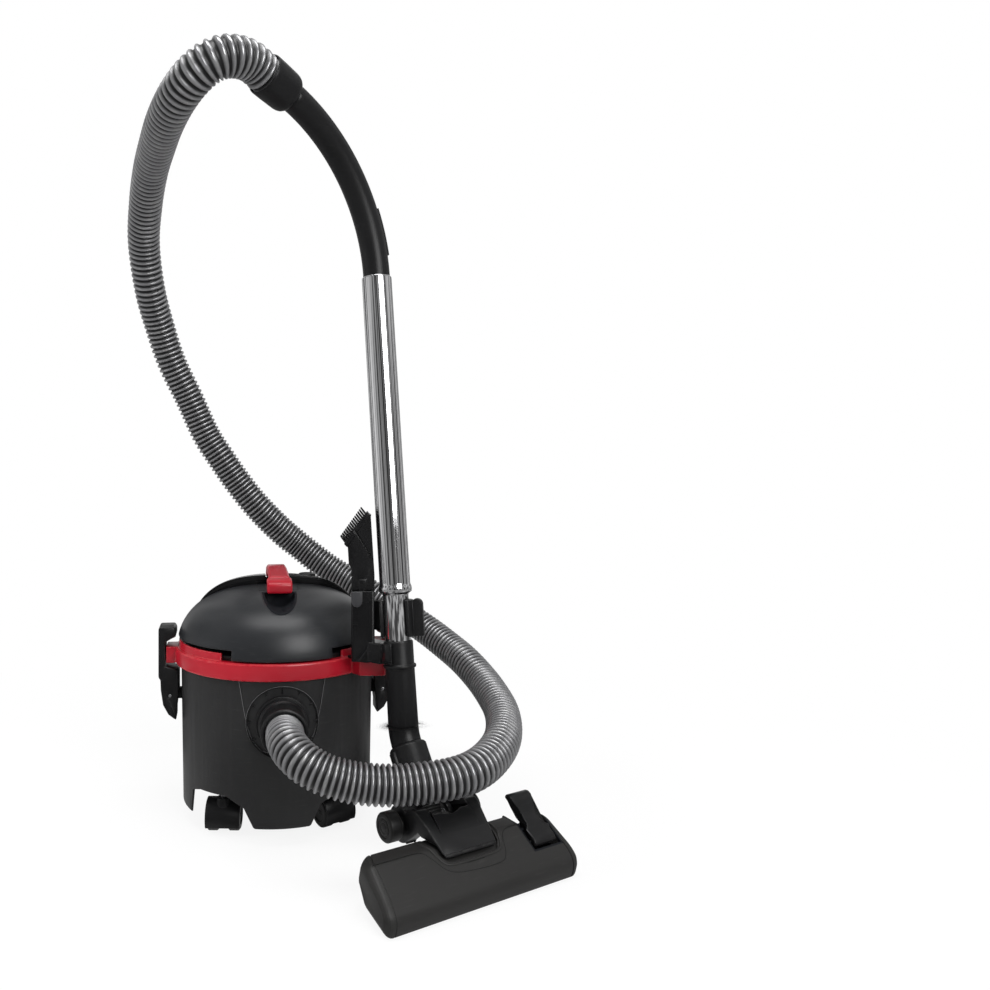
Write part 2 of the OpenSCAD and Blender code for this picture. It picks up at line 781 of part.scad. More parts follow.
// Bleed slider: a saddle that turns about the centre of the handle's bend
module suction_slider() color(black) at_handle()
  translate([handle_bend, 0, 0])
    rotate([90, 0, 0])
      difference() {
        rotate_extrude(angle = slider_sweep, start = 180 - slider_from - slider_sweep / 2 + 6, $fn = fine)
          translate([handle_bend, 0])
            intersection() {
              difference() {
                circle(handle_d / 2 + 3, $fn = mid);
                circle(handle_d / 2 + 0.35, $fn = mid);
              }
              translate([3, -12])
                square([handle_d / 2 - 0.3, 24]);
            }
        for (k = [0 : 5])
          rotate([0, 0, 180 - slider_from + 1 + k * 1.6])
            translate([handle_bend + handle_d / 2 + 2, -0.5, -10])
              cube([3, 1, 20]);
      }

bead_z = 53;
male_r = wand_d / 2 - 3;

module wand_tube() color(metal) at_wand()
  rotate_extrude($fn = fine)
    polygon([[male_r - 1.5, -34], [male_r, -34], [male_r, bead_z], [wand_d / 2 + 0.5, bead_z + 2],
      [wand_d / 2 + 1.5, bead_z + 4], [wand_d / 2 + 1.5, bead_z + 7], [wand_d / 2, bead_z + 10],
      [wand_d / 2, wand_len - 1], [wand_d / 2 - 0.6, wand_len], [handle_d / 2 + seat / 2, wand_len],
      [handle_d / 2 + seat / 2, wand_len - spigot - 1], [male_r - 1.5, wand_len - spigot - 8]]);

// ---------- Parking bracket ----------

holder_az = park_az - 2.4;
tool_rad = ring_r + 22;
tool_off = -8;
pocket_w = 24;
pocket_d = 21;
pocket_wall = 2.5;
pocket_top = rim_z + 91;
tool_turn = 40;
mount_r = ring_r + 8.1;

module at_park() {
  rotate([0, 0, holder_az])
    children();
}

module at_tool() {
  at_park()
    translate([tool_rad, tool_off, 0])
      rotate([0, 0, tool_turn])
        children();
}

module wand_bore(r, z0, z1)
  at_wand()
    translate([0, 0, z0])
      cylinder(h = z1 - z0, r = r, $fn = mid);

module tool_holder() color(black) difference() {
  union() {
    at_tool()
      translate([0, 0, ring_top])
        linear_extrude(pocket_top - ring_top)
          round_rect(pocket_w + 2 * pocket_wall, pocket_d + 2 * pocket_wall, 3);
    at_park()
      translate([ring_r + 2, -14, ring_top])
        cube([36, 40, 4]);
    at_park()
      translate([mount_r + 8, -14, ring_top])
        cube([38, 24, 24]);
    at_wand()
      translate([0, 0, -30])
        rotate_extrude(angle = 200, start = 12, $fn = mid)
          translate([18.3, 0])
            square([5.2, 24]);
  }
  wand_bore(18.3, -45, 20);
  at_tool()
    translate([0, 0, rim_z + 18])
      linear_extrude(200)
        round_rect(pocket_w, pocket_d, 1.5);
}

module wand_clip() color(black) difference() {
  union() {
    at_wand()
      translate([0, 0, 1])
        rotate_extrude(angle = 240, start = -84, $fn = mid)
          translate([male_r + 0.3, 0])
            square([5, 44]);
    at_wand()
      rotate([0, 0, -42])
        translate([male_r + 3, -6, 1]) {
          cube([14, 12, 38]);
          translate([7, 0, 38])
            along_y(0, 12, 7);
        }
    at_park()
      translate([tool_rad + 12, -2, rim_z + 42])
        cube([20, 18, 36]);
  }
  wand_bore(male_r + 0.3, -20, 80);
  at_tool()
    translate([0, 0, ring_z])
      linear_extrude(200)
        round_rect(pocket_w + 2 * pocket_wall, pocket_d + 2 * pocket_wall, 3);
}

// Combination tool: flat nozzle with a slanted dusting brush on its shoulder
module combi_tool() color(black) at_tool() difference() {
  union() {
    translate([0, 0, rim_z + 22])
      linear_extrude(pocket_top + 2 - rim_z - 22)
        round_rect(pocket_w - 2 * gap, pocket_d - 2 * gap, 1.5);
    translate([0, 0, pocket_top])
      slab_xz(22, [[-14.3, gap], [14.3, gap], [14.3, 20], [9.6, 94], [7, 95.5],
        [-19, 57], [-17.6, 34], [-14.3, 27]]);
    translate([0, 0, pocket_top])
      slab_xz(23, [[-23.5, 58], [-19.5, 54], [8.5, 94], [5.5, 98]]);
    translate([-5, -12.5, pocket_top + gap])
      cube([9, 2, 14]);
  }
  for (s = [-1, 1])
    translate([0, s * 11.3, pocket_top + 58])
      rotate([0, 58, 0])
        cube([60, 1.6, 2], center = true);
}

module combi_bristles() color([0.03, 0.03, 0.03]) at_tool()
  for (k = [0 : 8], j = [-1 : 1])
    translate([-21 + k * 3.1, j * 8, pocket_top + 59 + k * 4.35])
      rotate([0, -38, 0])
        cylinder(h = 11, r = 1.1, $fn = 13);

// ---------- Floor tool ----------

neck_r = 18;
elbow_bend = 50;
turn = leg_lean - wand_lean;
tangent = elbow_bend * tan(turn / 2);
neck_bore = 14.5;
leg_spigot = 34;
sleeve_r = 23;
sleeve_end = leg_len - 33.3;
ear_x0 = 20;
ear_w = 6.5;
axle_r = 5;
arm_x0 = 26.8;
arm_x1 = 43.2;
roller_x = 48;
roller_w = 17;

module neck_elbow(r) {
  at_leg()
    translate([0, 0, -tangent])
      rotate([0, 0, -90])
        bend(elbow_bend, turn, r);
  at_wand()
    rod(-neck_len + tangent - key, -neck_len + tangent + key, r - key / 2);
  at_leg()
    rod(-tangent - key, -tangent + key, r - key);
}

module neck_tube() color(black) difference() {
  union() {
    at_wand()
      rotate_extrude($fn = mid)
        polygon([[0, -neck_len + tangent], [neck_r + 0.5, -neck_len + tangent],
          [neck_r, -37], [neck_r + 2.2, -36], [neck_r + 2.2, -33], [neck_r, -32], [neck_r, -5],
          [neck_r - 1, -4], [0, -4]]);
    neck_elbow(neck_r + 0.5);
    at_leg()
      rod(-tangent - leg_spigot, -tangent, neck_r - 1);
  }
  at_wand()
    rod(-neck_len + tangent, 0, neck_bore);
  neck_elbow(neck_bore);
  at_leg()
    rod(-tangent - leg_spigot - 1, -tangent, neck_bore);
  wand_bore(male_r + 0.1, -34.2, 0);
}

module sleeve() color(black) at_leg() difference() {
  union() {
    rotate_extrude($fn = mid)
      polygon([[neck_r - 1 + gap, -sleeve_end], [sleeve_r, -sleeve_end], [sleeve_r, -tangent - 3],
        [sleeve_r - 2, -tangent - gap], [neck_r - 1 + gap, -tangent - gap]]);
    for (s = [-1, 1]) {
      translate([s * (ear_x0 + ear_w / 2), 0, -leg_len])
        along_x(-ear_w / 2, ear_w / 2, 12);
      translate([s * (ear_x0 + ear_w / 2) - ear_w / 2, -10, -leg_len])
        cube([ear_w, 20, leg_len - sleeve_end + 8]);
    }
    for (k = [0 : 2])
      ring_solid(-sleeve_end + 2 + k * 4, -sleeve_end + 4 + k * 4, sleeve_r - 1, sleeve_r + 0.9);
    translate([-sleeve_r - 2.5, -5, -tangent - 22])
      cube([5, 10, 16]);
  }
  translate([0, 0, -leg_len])
    along_x(-40, 40, axle_r + run);
  translate([0, 0, -sleeve_end - 1])
    cylinder(h = 40, r = neck_r - 1 + gap, $fn = mid);
}

bellows_r = 16.6;
bellows_low = 6;
bellows_top = leg_len + bellows_low - sleeve_end;
bellows_pitch = (bellows_top - 3) / 11;

module bellows() color([0.05, 0.05, 0.05]) at_leg() translate([0, 0, -leg_len - bellows_low])
  rotate_extrude($fn = mid)
    polygon(concat([[neck_bore - 1.5, 0]],
      [for (k = [0 : 10]) each [[bellows_r - 1.6, k * bellows_pitch],
        [bellows_r, (k + 0.5) * bellows_pitch]]],
      [[bellows_r - 1.6, 11 * bellows_pitch], [ear_x0 - gap, 11 * bellows_pitch],
        [ear_x0 - gap, bellows_top], [neck_bore - 1.5, bellows_top]]));

module stub_axles() color(metal) at_head() translate([0, axle_b, axle_z])
  for (s = [-1, 1])
    along_x(min(s * 19.5, s * 63), max(s * 19.5, s * 63), axle_r);

module roller() color(black) translate([0, axle_b, axle_z]) rotate([0, 90, 0]) difference() {
  rotate_extrude($fn = mid)
    polygon([[axle_r + run, roller_x], [roller_r - 2, roller_x], [roller_r, roller_x + 2],
      [roller_r, roller_x + roller_w - 2], [roller_r - 2, roller_x + roller_w],
      [11.5, roller_x + roller_w], [11, roller_x + roller_w - 1.2], [9.5, roller_x + roller_w - 1.2],
      [9, roller_x + roller_w], [0, roller_x + roller_w], [0, roller_x + roller_w - 1.8],
      [axle_r + run, roller_x + roller_w - 1.8]]);
  ring_solid(roller_x + roller_w - 0.8, roller_x + roller_w + 1, 5, 6);
}

// Outline of the yoke from the side: plate on the cover, arms curling round the pivot
module yoke_side() {
  polygon([[40, 40.6], [40.5, 43.2], [60, 53], [86, 65.5], [93, 67], [101, 64],
    [axle_b - 8, axle_z + 20], [axle_b, axle_z], [axle_b - 15, axle_z - 15], [84, 45],
    [78, 43.2], [70, 44.4], [55, 46.8]]);
  translate([axle_b, axle_z])
    circle(21, $fn = mid);
}

// Outline of the yoke from above, narrower at its front, grown for the moat round it
module yoke_plan(grow)
  linear_extrude(90)
    polygon([for (m = [1, -1], k = m > 0 ? [0 : 4] : [4 : -1 : 0])
      let (p = [[30.5, 39.2 - grow], [35 + grow * 0.6, 40.6 - grow * 0.6], [37 + grow, 45],
        [arm_x1 + grow, 88], [arm_x1 + grow, 150]][k]) [m * p[0], p[1]]]);

module yoke_plate() color(black) at_head() difference() {
  union() {
    intersection() {
      union() {
        for (s = [0, 1])
          mirror([s, 0, 0])
            translate([arm_x0, 0, 0])
              rotate([90, 0, 90])
                linear_extrude(arm_x1 - arm_x0)
                  yoke_side();
        slab_yz(-arm_x1, arm_x1, [[39, 40], [40.5, 43.2], [60, 53], [84, 64.5], [88, 60],
          [78, 43.2], [70, 44.4], [55, 46.8]]);
      }
      yoke_plan(0);
    }
    for (s = [-1, 1])
      translate([s * (arm_x1 + roller_x) / 2, axle_b, axle_z])
        along_x(-(roller_x - arm_x1) / 2 - (s > 0 ? 2 : -gap), (roller_x - arm_x1) / 2 + (s < 0 ? 2 : -gap), 9);
  }
  translate([0, axle_b, axle_z])
    along_x(-60, 60, axle_r);
  translate([0, axle_b, axle_z])
    rotate([0, -90, 0])
      translate([0, 0, -arm_x0])
        cylinder(h = 2 * arm_x0, r = 30, $fn = mid);
  translate([0, 107.5, 40])
    cylinder(h = 40, r = arm_x0, $fn = mid);
}

// End profile of the floor tool, front to the left
head_outline = [[toe_b, 0], [50, 0], [80, 20], [78, 42], [55, 46], [12, 30], [0, 18], [1, 4]];
head_cavity = [[8, -1], [47, -1], [72, 19], [71, 32], [56, 37], [16, 23], [6, 14], [6, 3]];
cap_w = 9;
sole_t = 3;
pedal_u = head_w / 2 - 34;
pedal_w = 32;
well_w = 40;
throat_b = axle_b - 21;
slot_b = [13.5, 41.5];

module head_block(x0, x1)
  slab_yz(x0, x1, head_outline);

// Outline of the floor tool from above, its ends drawn in towards the rear
module head_plan()
  translate([0, 0, -5])
    linear_extrude(90)
      polygon([for (m = [1, -1], k = m > 0 ? [0 : 6] : [6 : -1 : 0])
        let (p = [[9, 0], [3, 2.4], [0, 9], [4.5, 56], [8, 70], [14, 77.5], [24, 81]][k])
          [m * (head_w / 2 - p[0]), p[1]]]);

module pedal_pocket(grow)
  translate([pedal_u - well_w / 2 - grow, 22 - grow, 24 - grow])
    cube([well_w + 2 * grow, 62, 50]);

module head_cover() color(grey) at_head() difference() {
  union() {
    intersection() {
      head_block(-head_w / 2 + cap_w, head_w / 2 - cap_w);
      head_plan();
    }
    translate([0, 0, axle_z])
      along_y(70, throat_b, 18.5, mid);
  }
  translate([0, 0, axle_z])
    along_y(60, throat_b + 1, 15.5, mid);
  slab_yz(-head_w / 2 + cap_w + 6, head_w / 2 - cap_w - 6, head_cavity);
  translate([-head_w / 2 + cap_w + 3, 6.4, -1])
    cube([head_w - 2 * cap_w - 6, 42.2, sole_t + 1 + 0.1]);
  pedal_pocket(2);
  intersection() {
    slab_yz(-50, 50, [[28, 70], [30, 32.4], [55, 42.8], [79, 38.6], [90, 38.6], [90, 70]]);
    yoke_plan(3.6);
  }
}

module head_caps() color(grey) at_head()
  each_side()
    intersection() {
      head_block(head_w / 2 - cap_w, head_w / 2);
      head_plan();
    }

module head_sole() color(grey) at_head() difference() {
  translate([-head_w / 2 + cap_w + 3.2, 6.6, 0])
    cube([head_w - 2 * cap_w - 6.4, 41.8, sole_t]);
  translate([-100, 20, -1])
    cube([200, 14, 6]);
  for (b = slot_b)
    translate([-111, b - 2.2, -1])
      cube([222, 4.4, 6]);
}

module brush_strips() color([0.04, 0.04, 0.04]) at_head() {
  for (b = slot_b)
    translate([-110, b - 1.4, 0.6])
      cube([220, 2.8, 9]);
  for (s = [-1, 1])
    translate([s * 106 - 4, slot_b[0] - 1.4, 9.4])
      cube([8, slot_b[1] - slot_b[0] + 2.8, 3]);
}

module pedal_well() color([0.04, 0.04, 0.04]) at_head() {
  difference() {
    intersection() {
      pedal_pocket(2);
      head_block(-head_w / 2, head_w / 2);
      head_plan();
    }
    pedal_pocket(0);
  }
  translate([pedal_u, 52, 38])
    along_x(-well_w / 2 - 1, well_w / 2 + 1, 2);
}

module pedal() color(black) at_head() difference() {
  union() {
    slab_yz(pedal_u - pedal_w / 2 + 2.5, pedal_u + pedal_w / 2 - 2.5, [[27, 33], [31, 41], [44, 46],
      [56, 50], [68, 59], [76, 66], [84, 65], [85, 60], [79, 58], [72, 52], [60, 42], [50, 38],
      [38, 35], [29, 31]]);
    slab_yz(pedal_u - pedal_w / 2, pedal_u + pedal_w / 2, [[26, 32], [30, 40.5], [42, 44.5],
      [43, 38], [30, 30.5]]);
    slab_yz(pedal_u - pedal_w / 2, pedal_u + pedal_w / 2, [[69, 58.5], [76, 65.5], [84, 64.5],
      [86, 60], [79, 57.5], [73, 52.5]]);
    translate([pedal_u, 52, 38])
      along_x(-8, 8, 5);
  }
  translate([pedal_u, 52, 38])
    along_x(-30, 30, 2 + run);
}

// ---------- Assembly ----------

module whole() {
  tub_shell();
  red_band();
  inlet_dial();
  inlet_socket();
  inlet_seal();
  latch_pins();
  latch();  // latch_right
  mirror([1, 0, 0]) latch();  // latch_left
  stem_bushes();
  dust_bag();
  bag_card();
  filter_frame();
  filter_media();
  at_caster(-1, -1) caster_stem();  // caster_stem_fl
  at_caster(1, -1) caster_stem();  // caster_stem_fr
  at_caster(-1, 1) caster_stem();  // caster_stem_bl
  at_caster(1, 1) caster_stem();  // caster_stem_br
  at_caster(-1, -1) caster_hood();  // caster_hood_fl
  at_caster(1, -1) caster_hood();  // caster_hood_fr
  at_caster(-1, 1) caster_hood();  // caster_hood_bl
  at_caster(1, 1) caster_hood();  // caster_hood_br
  at_caster(-1, -1) twin_wheel();  // twin_wheel_fl
  at_caster(1, -1) twin_wheel();  // twin_wheel_fr
  at_caster(-1, 1) twin_wheel();  // twin_wheel_bl
  at_caster(1, 1) twin_wheel();  // twin_wheel_br
  lid_base();
  lid_gasket();
  fan_housing();
  impeller();
  motor();
  lid_dome();
  rear_hood();
  exhaust_grille();
  grip();
  grip_well();
  switch_button();
  cord_gland();
  inlet_cuff();
  hose();
  handle_cuff();
  handle_tube();
  suction_slider();
  wand_tube();
  tool_holder();
  wand_clip();
  combi_tool();
  combi_bristles();
  neck_tube();
  sleeve();
  bellows();
  stub_axles();
  at_head() roller();  // roller_right
  at_head() mirror([1, 0, 0]) roller();  // roller_left
  yoke_plate();
  head_cover();
  head_caps();
  head_sole();
  brush_strips();
  pedal();
  pedal_well();
}

translate([tub_x, tub_y, 0])
  whole();
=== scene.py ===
import json
from math import asin, atan2, cos, hypot, pi, radians, sin

import bmesh
import bpy
from mathutils import Matrix, Vector


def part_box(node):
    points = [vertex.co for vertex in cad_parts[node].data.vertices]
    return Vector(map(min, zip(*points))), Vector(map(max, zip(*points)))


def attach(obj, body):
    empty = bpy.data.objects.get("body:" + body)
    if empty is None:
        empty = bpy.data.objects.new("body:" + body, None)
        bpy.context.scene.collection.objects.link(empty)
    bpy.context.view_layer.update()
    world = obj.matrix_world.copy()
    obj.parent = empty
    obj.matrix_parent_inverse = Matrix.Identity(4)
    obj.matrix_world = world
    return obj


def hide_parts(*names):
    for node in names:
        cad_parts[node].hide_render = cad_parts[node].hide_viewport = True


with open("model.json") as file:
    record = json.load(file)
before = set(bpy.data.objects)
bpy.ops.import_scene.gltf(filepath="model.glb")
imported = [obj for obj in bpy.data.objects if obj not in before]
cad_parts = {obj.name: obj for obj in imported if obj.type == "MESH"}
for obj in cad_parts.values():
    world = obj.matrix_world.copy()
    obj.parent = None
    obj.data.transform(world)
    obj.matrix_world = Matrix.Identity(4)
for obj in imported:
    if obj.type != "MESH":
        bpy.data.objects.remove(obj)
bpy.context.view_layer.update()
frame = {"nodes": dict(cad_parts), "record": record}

# Camera. It stands about half a metre up and 1.2 m in front of the tub, a little to its left,
# and looks level, with the frame shifted so that hose, tub and floor tool all fit.
frame_px = 990
focal_px = 900
sight_px = (350, 450)
low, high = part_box("lid_dome")
tub_axis = Vector(((low[0] + high[0]) / 2, (low[1] + high[1]) / 2, 0))
camera_data = bpy.data.cameras.new("studio_camera")
camera_data.sensor_width = 36
camera_data.lens = 36 * focal_px / frame_px
camera_data.shift_x = (frame_px / 2 - sight_px[0]) / frame_px
camera_data.shift_y = (sight_px[1] - frame_px / 2) / frame_px
camera_data.clip_start = 0.05
camera = bpy.data.objects.new("studio_camera", camera_data)
camera.location = tub_axis + Vector((-0.0633, -1.2314, 0.487))
camera.rotation_euler = (pi / 2, 0, -radians(7.56))
bpy.context.collection.objects.link(camera)
bpy.context.scene.camera = camera
bpy.context.scene.view_settings.view_transform = "Standard"

# Studio. A wide white floor under a pale surround, with one large soft lamp in front on the
# right, one overhead and a narrow one at each side. What chrome mirrors of the surround has
# soft upright bands and is dimmer towards the front.
class Value:
    """A socket in a node tree, so that masks are written as plain sums."""

    def __init__(self, finish, socket):
        self.finish, self.socket = finish, socket

    def maths(self, operation, first, second, clamp=False):
        return self.finish.node(
            "Math", {"operation": operation, "use_clamp": clamp}, {0: first, 1: second}
        )

    def __add__(self, other):
        return self.maths("ADD", self, other)

    def __sub__(self, other):
        return self.maths("SUBTRACT", self, other)

    def __rsub__(self, other):
        return self.maths("SUBTRACT", other, self)

    def __mul__(self, other):
        return self.maths("MULTIPLY", self, other)

    __radd__ = __add__
    __rmul__ = __mul__

    def clipped(self):
        return self.maths("ADD", self, 0.0, True)

    def or_else(self, other):
        return self.maths("MAXIMUM", self, other)


class Finish:
    """A node tree under construction. Its place is the surface's own point in metres."""

    def __init__(self, owner, place="Object"):
        owner.use_nodes = True
        self.owner, self.tree = owner, owner.node_tree
        self.tree.nodes.clear()
        self.place = self.node("TexCoord", out=place)

    def node(self, kind, settings=(), values=(), out=0):
        made = self.tree.nodes.new("ShaderNode" + kind)
        for key, value in dict(settings).items():
            setattr(made, key, value)
        for key, value in dict(values).items():
            socket = made.inputs[key] if isinstance(key, int) else next(
                s for s in made.inputs if key in (s.identifier, s.name)
            )
            if isinstance(value, Value):
                self.tree.links.new(value.socket, socket)
            elif socket.type == "RGBA":
                socket.default_value = (*value, 1)
            else:
                socket.default_value = value
        outputs = made.outputs
        return Value(self, outputs[out] if isinstance(out, int) else next(
            s for s in outputs if out in (s.identifier, s.name)
        ))

    def rays(self):
        """Whether a ray sees the surface itself, straight or through glass, or in a mirror."""
        seen = self.node("LightPath", out="Is Camera Ray").or_else(
            self.node("LightPath", out="Is Transmission Ray")
        )
        return seen, self.node("LightPath", out="Is Glossy Ray")

    def noise(self, scale, detail=3, stretch=(1, 1, 1)):
        place = self.node("Mapping", {}, {"Vector": self.place, "Scale": stretch}, "Vector")
        values = {"Vector": place, "Scale": scale, "Detail": detail}
        return self.node("TexNoise", {}, values, "Fac")

    def ramp(self, value, low_end, high_end, low_value=0.0, high_value=1.0):
        values = {"Value": value, "From Min": low_end, "From Max": high_end,
                  "To Min": low_value, "To Max": high_value}
        return self.node("MapRange", {"interpolation_type": "SMOOTHSTEP"}, values, 0)

    def mix(self, factor, first, second):
        values = {"Factor_Float": factor, "A_Color": first, "B_Color": second}
        return self.node("Mix", {"data_type": "RGBA"}, values, "Result_Color")

    def bump(self, height, distance):
        return self.node("Bump", {}, {"Height": height, "Distance": distance}, "Normal")

    def shows(self, surface, output="OutputMaterial"):
        end = self.tree.nodes.new("ShaderNode" + output)
        self.tree.links.new(surface.socket, end.inputs["Surface"])
        return self.owner

    def done(self, **values):
        named = {k.replace("_", " ").title().replace("Ior", "IOR"): v for k, v in values.items()}
        return self.shows(self.node("BsdfPrincipled", {}, named, "BSDF"))


def finish(name):
    return Finish(bpy.data.materials.new(name))


surround = 0.36
world = bpy.data.worlds.new("studio")
bpy.context.scene.world = world
f = Finish(world, "Generated")
seen, mirrored = f.rays()
behind = f.ramp(f.node("SeparateXYZ", {}, {0: f.place}, "Y"), -0.75, 0.35, 0.16, 0.42)
banded = behind * f.ramp(f.noise(4.6, 2, (1, 1, 0.04)), 0.42, 0.57, 0.2, 1.9)
level = seen.or_else(mirrored * banded + (1 - mirrored) * (1 - seen) * surround)
f.shows(f.node("Background", {}, {"Color": (1, 1, 1), "Strength": level}), "OutputWorld")

floor_half = 9
floor_mesh = bmesh.new()
bmesh.ops.create_grid(floor_mesh, x_segments=2, y_segments=2, size=floor_half)
floor_data = bpy.data.meshes.new("studio_floor")
floor_mesh.to_mesh(floor_data)
floor_mesh.free()
floor = bpy.data.objects.new("studio_floor", floor_data)
floor.location.z = -0.0004
bpy.context.collection.objects.link(floor)
f = finish("studio_floor")
seen, mirrored = f.rays()
spread = f.node("VectorMath", {"operation": "LENGTH"}, {0: f.place}, "Value")
patchy = f.ramp(f.noise(3.1, 2), 0.42, 0.58, 0.06, 0.5)
glow = f.node("Emission", {}, {"Color": (1, 1, 1), "Strength": seen.or_else(mirrored * patchy)})
matt = f.node("BsdfDiffuse", {}, {"Color": (0.86, 0.86, 0.86)})
lit = (seen * f.ramp(spread, 0.45, 1.1, 0.88, 1.0)).or_else(mirrored)
floor_data.materials.append(f.shows(f.node("MixShader", {}, {0: lit, 1: matt, 2: glow})))

aim = tub_axis + Vector((0.08, -0.03, 0.34))
for name, place, width, height, watts in (
    ("lamp_key", (0.95, -2.1, 1.45), 1.3, 1.5, 34),
    ("lamp_left", (-2.1, -0.1, 1.2), 0.7, 1.7, 34),
    ("lamp_top", (0.0, -0.5, 2.5), 1.7, 1.0, 30),
    ("lamp_right", (2.1, 0.5, 1.0), 0.5, 1.7, 12),
):
    lamp = bpy.data.lights.new(name, "AREA")
    lamp.shape = "RECTANGLE"
    lamp.size, lamp.size_y = width, height
    lamp.energy = watts
    lamp_object = bpy.data.objects.new(name, lamp)
    lamp_object.location = tub_axis + Vector(place)
    lamp_object.visible_glossy = name in ("lamp_key", "lamp_top")
    lamp_object.rotation_euler = (aim - lamp_object.location).to_track_quat("-Z", "Y").to_euler()
    bpy.context.collection.objects.link(lamp_object)


# Tub shell. One deep injection moulding in dark grey polypropylene with a fine spark-eroded
# grain, lobed between its wheel arches. The exhaust grille on the lid is of the same plastic.
def plastic(name, colour, worn, rough, grain=0.00002, grain_scale=1500, gloss=0.0, shine=0.3):
    """Moulded plastic, a little cloudy, with faint upright rub marks and worn edges."""
    f = finish(name)
    cloud = f.noise(11, 4)
    rubbed = ((f.noise(1, 5, (45, 45, 700)) - 0.6) * 5).clipped()
    edge = f.node("Attribute", {"attribute_name": "edge"}, (), "Fac")
    broken = ((f.noise(160, 4) - 0.34) * 3).clipped()
    tone = f.mix(cloud, tuple(c * 0.86 for c in colour), tuple(c * 1.16 for c in colour))
    tone = f.mix(rubbed * 0.22, tone, worn)
    tone = f.mix(edge * broken * 0.55, tone, worn)
    return f.done(
        base_color=tone,
        roughness=cloud * 0.1 + (rough - 0.05) + rubbed * 0.12 - edge * 0.06,
        coat_weight=gloss,
        coat_roughness=0.12,
        specular_ior_level=shine,
        normal=f.bump(f.noise(grain_scale, 2), grain),
    )


def piece(name, bm, material, body, replaces=(), smooth=35):
    """The finished mesh becomes an object at the origin that rides on its CAD body."""
    data = bpy.data.meshes.new(name)
    bm.to_mesh(data)
    bm.free()
    data.shade_smooth()
    data.set_sharp_from_angle(angle=radians(smooth))
    data.materials.append(material)
    made = bpy.data.objects.new(name, data)
    bpy.context.collection.objects.link(made)
    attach(made, body)
    if replaces:
        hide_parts(*replaces)
    return made


def rounded(bm, width, steps=2, crease=28):
    """Breaks every edge sharper than the crease, and marks the rounding as an edge that wears."""
    sharp = [
        e for e in bm.edges
        if len(e.link_faces) == 2 and e.calc_face_angle() > radians(crease)
    ]
    made = bmesh.ops.bevel(
        bm, geom=sharp, offset=width, offset_type="OFFSET", affect="EDGES",
        segments=steps, profile=0.5, material=-1, clamp_overlap=False,
    )["faces"]
    mark = bm.loops.layers.float.new("edge")
    inside = set(made)
    for face in made:
        for loop in face.loops:
            loop[mark] = 1.0 if all(f in inside for f in loop.vert.link_faces) else 0.0


def moulded(node, width, material, steps=2):
    """The CAD solid with its flats joined into whole faces and its edges broken."""
    bm = bmesh.new()
    bm.from_mesh(frame["nodes"][node].data)
    bmesh.ops.remove_doubles(bm, verts=bm.verts, dist=2e-6)
    bmesh.ops.dissolve_limit(bm, angle_limit=radians(0.5), verts=bm.verts, edges=bm.edges)
    if width:
        rounded(bm, width, steps)
    body = next(b for b, nodes in frame["record"]["behaviour"]["bodies"].items() if node in nodes)
    return piece(node + "_moulding", bm, material, body, [node])


tub_grey = plastic("tub_grey", (0.020, 0.020, 0.0205), (0.08, 0.08, 0.08), 0.42)
moulded("tub_shell", 0.0006, tub_grey)
moulded("exhaust_grille", 0, tub_grey)


# Raised lines of the inlet's shield and of its index ring. Each is a fine bead moulded on the
# tub's drafted wall, of the same plastic made much paler.
def tube(path, radii, segments):
    """A closed tube along a path of points, with one radius for each point."""
    bm = bmesh.new()
    bmesh.ops.create_circle(bm, cap_ends=True, segments=segments, radius=1.0)
    bmesh.ops.spin(
        bm, geom=bm.faces[:], cent=(0, 0, 0), axis=(0, 0, 1), dvec=(0, 0, 1), angle=0,
        steps=len(path) - 1, use_duplicate=False,
    )
    across = Vector((0, 0, 1))
    frames = []
    for k, centre in enumerate(path):
        ahead = (path[min(k + 1, len(path) - 1)] - path[max(k - 1, 0)]).normalized()
        across = (across - ahead * across.dot(ahead)).normalized()
        frames.append((centre, across, ahead.cross(across), radii[k]))
    for vert in bm.verts:
        centre, across, up, radius = frames[round(vert.co.z)]
        vert.co = centre + radius * (across * vert.co.x + up * vert.co.y)
    bmesh.ops.recalc_face_normals(bm, faces=bm.faces)
    return bm


def smooth_path(points, steps=6, unit=0.001):
    """A smooth line through points, which are in millimetres unless the unit is given."""
    line = []
    for k in range(len(points) - 1):
        a, b = Vector(points[max(k - 1, 0)]), Vector(points[k])
        c, d = Vector(points[k + 1]), Vector(points[min(k + 2, len(points) - 1)])
        for i in range(steps):
            t = i / steps
            line.append(0.5 * unit * (
                2 * b + (c - a) * t + (2 * a - 5 * b + 4 * c - d) * t ** 2
                + (3 * b - a - 3 * c + d) * t ** 3
            ))
    return line + [Vector(points[-1]) * unit]


wall_radius, wall_draft = 126, 3
wall_foot, wall_height = 23, 199
inlet_height = 153
index_radius = 44.7
bead_radius = 0.0003


def on_wall(x, z, proud=0.1):
    """A point on the front of the tub's wall, in millimetres from the tub's axis."""
    r = wall_radius + wall_draft * (z - wall_foot) / wall_height + proud
    return (x, -(r * r - x * x) ** 0.5, z)


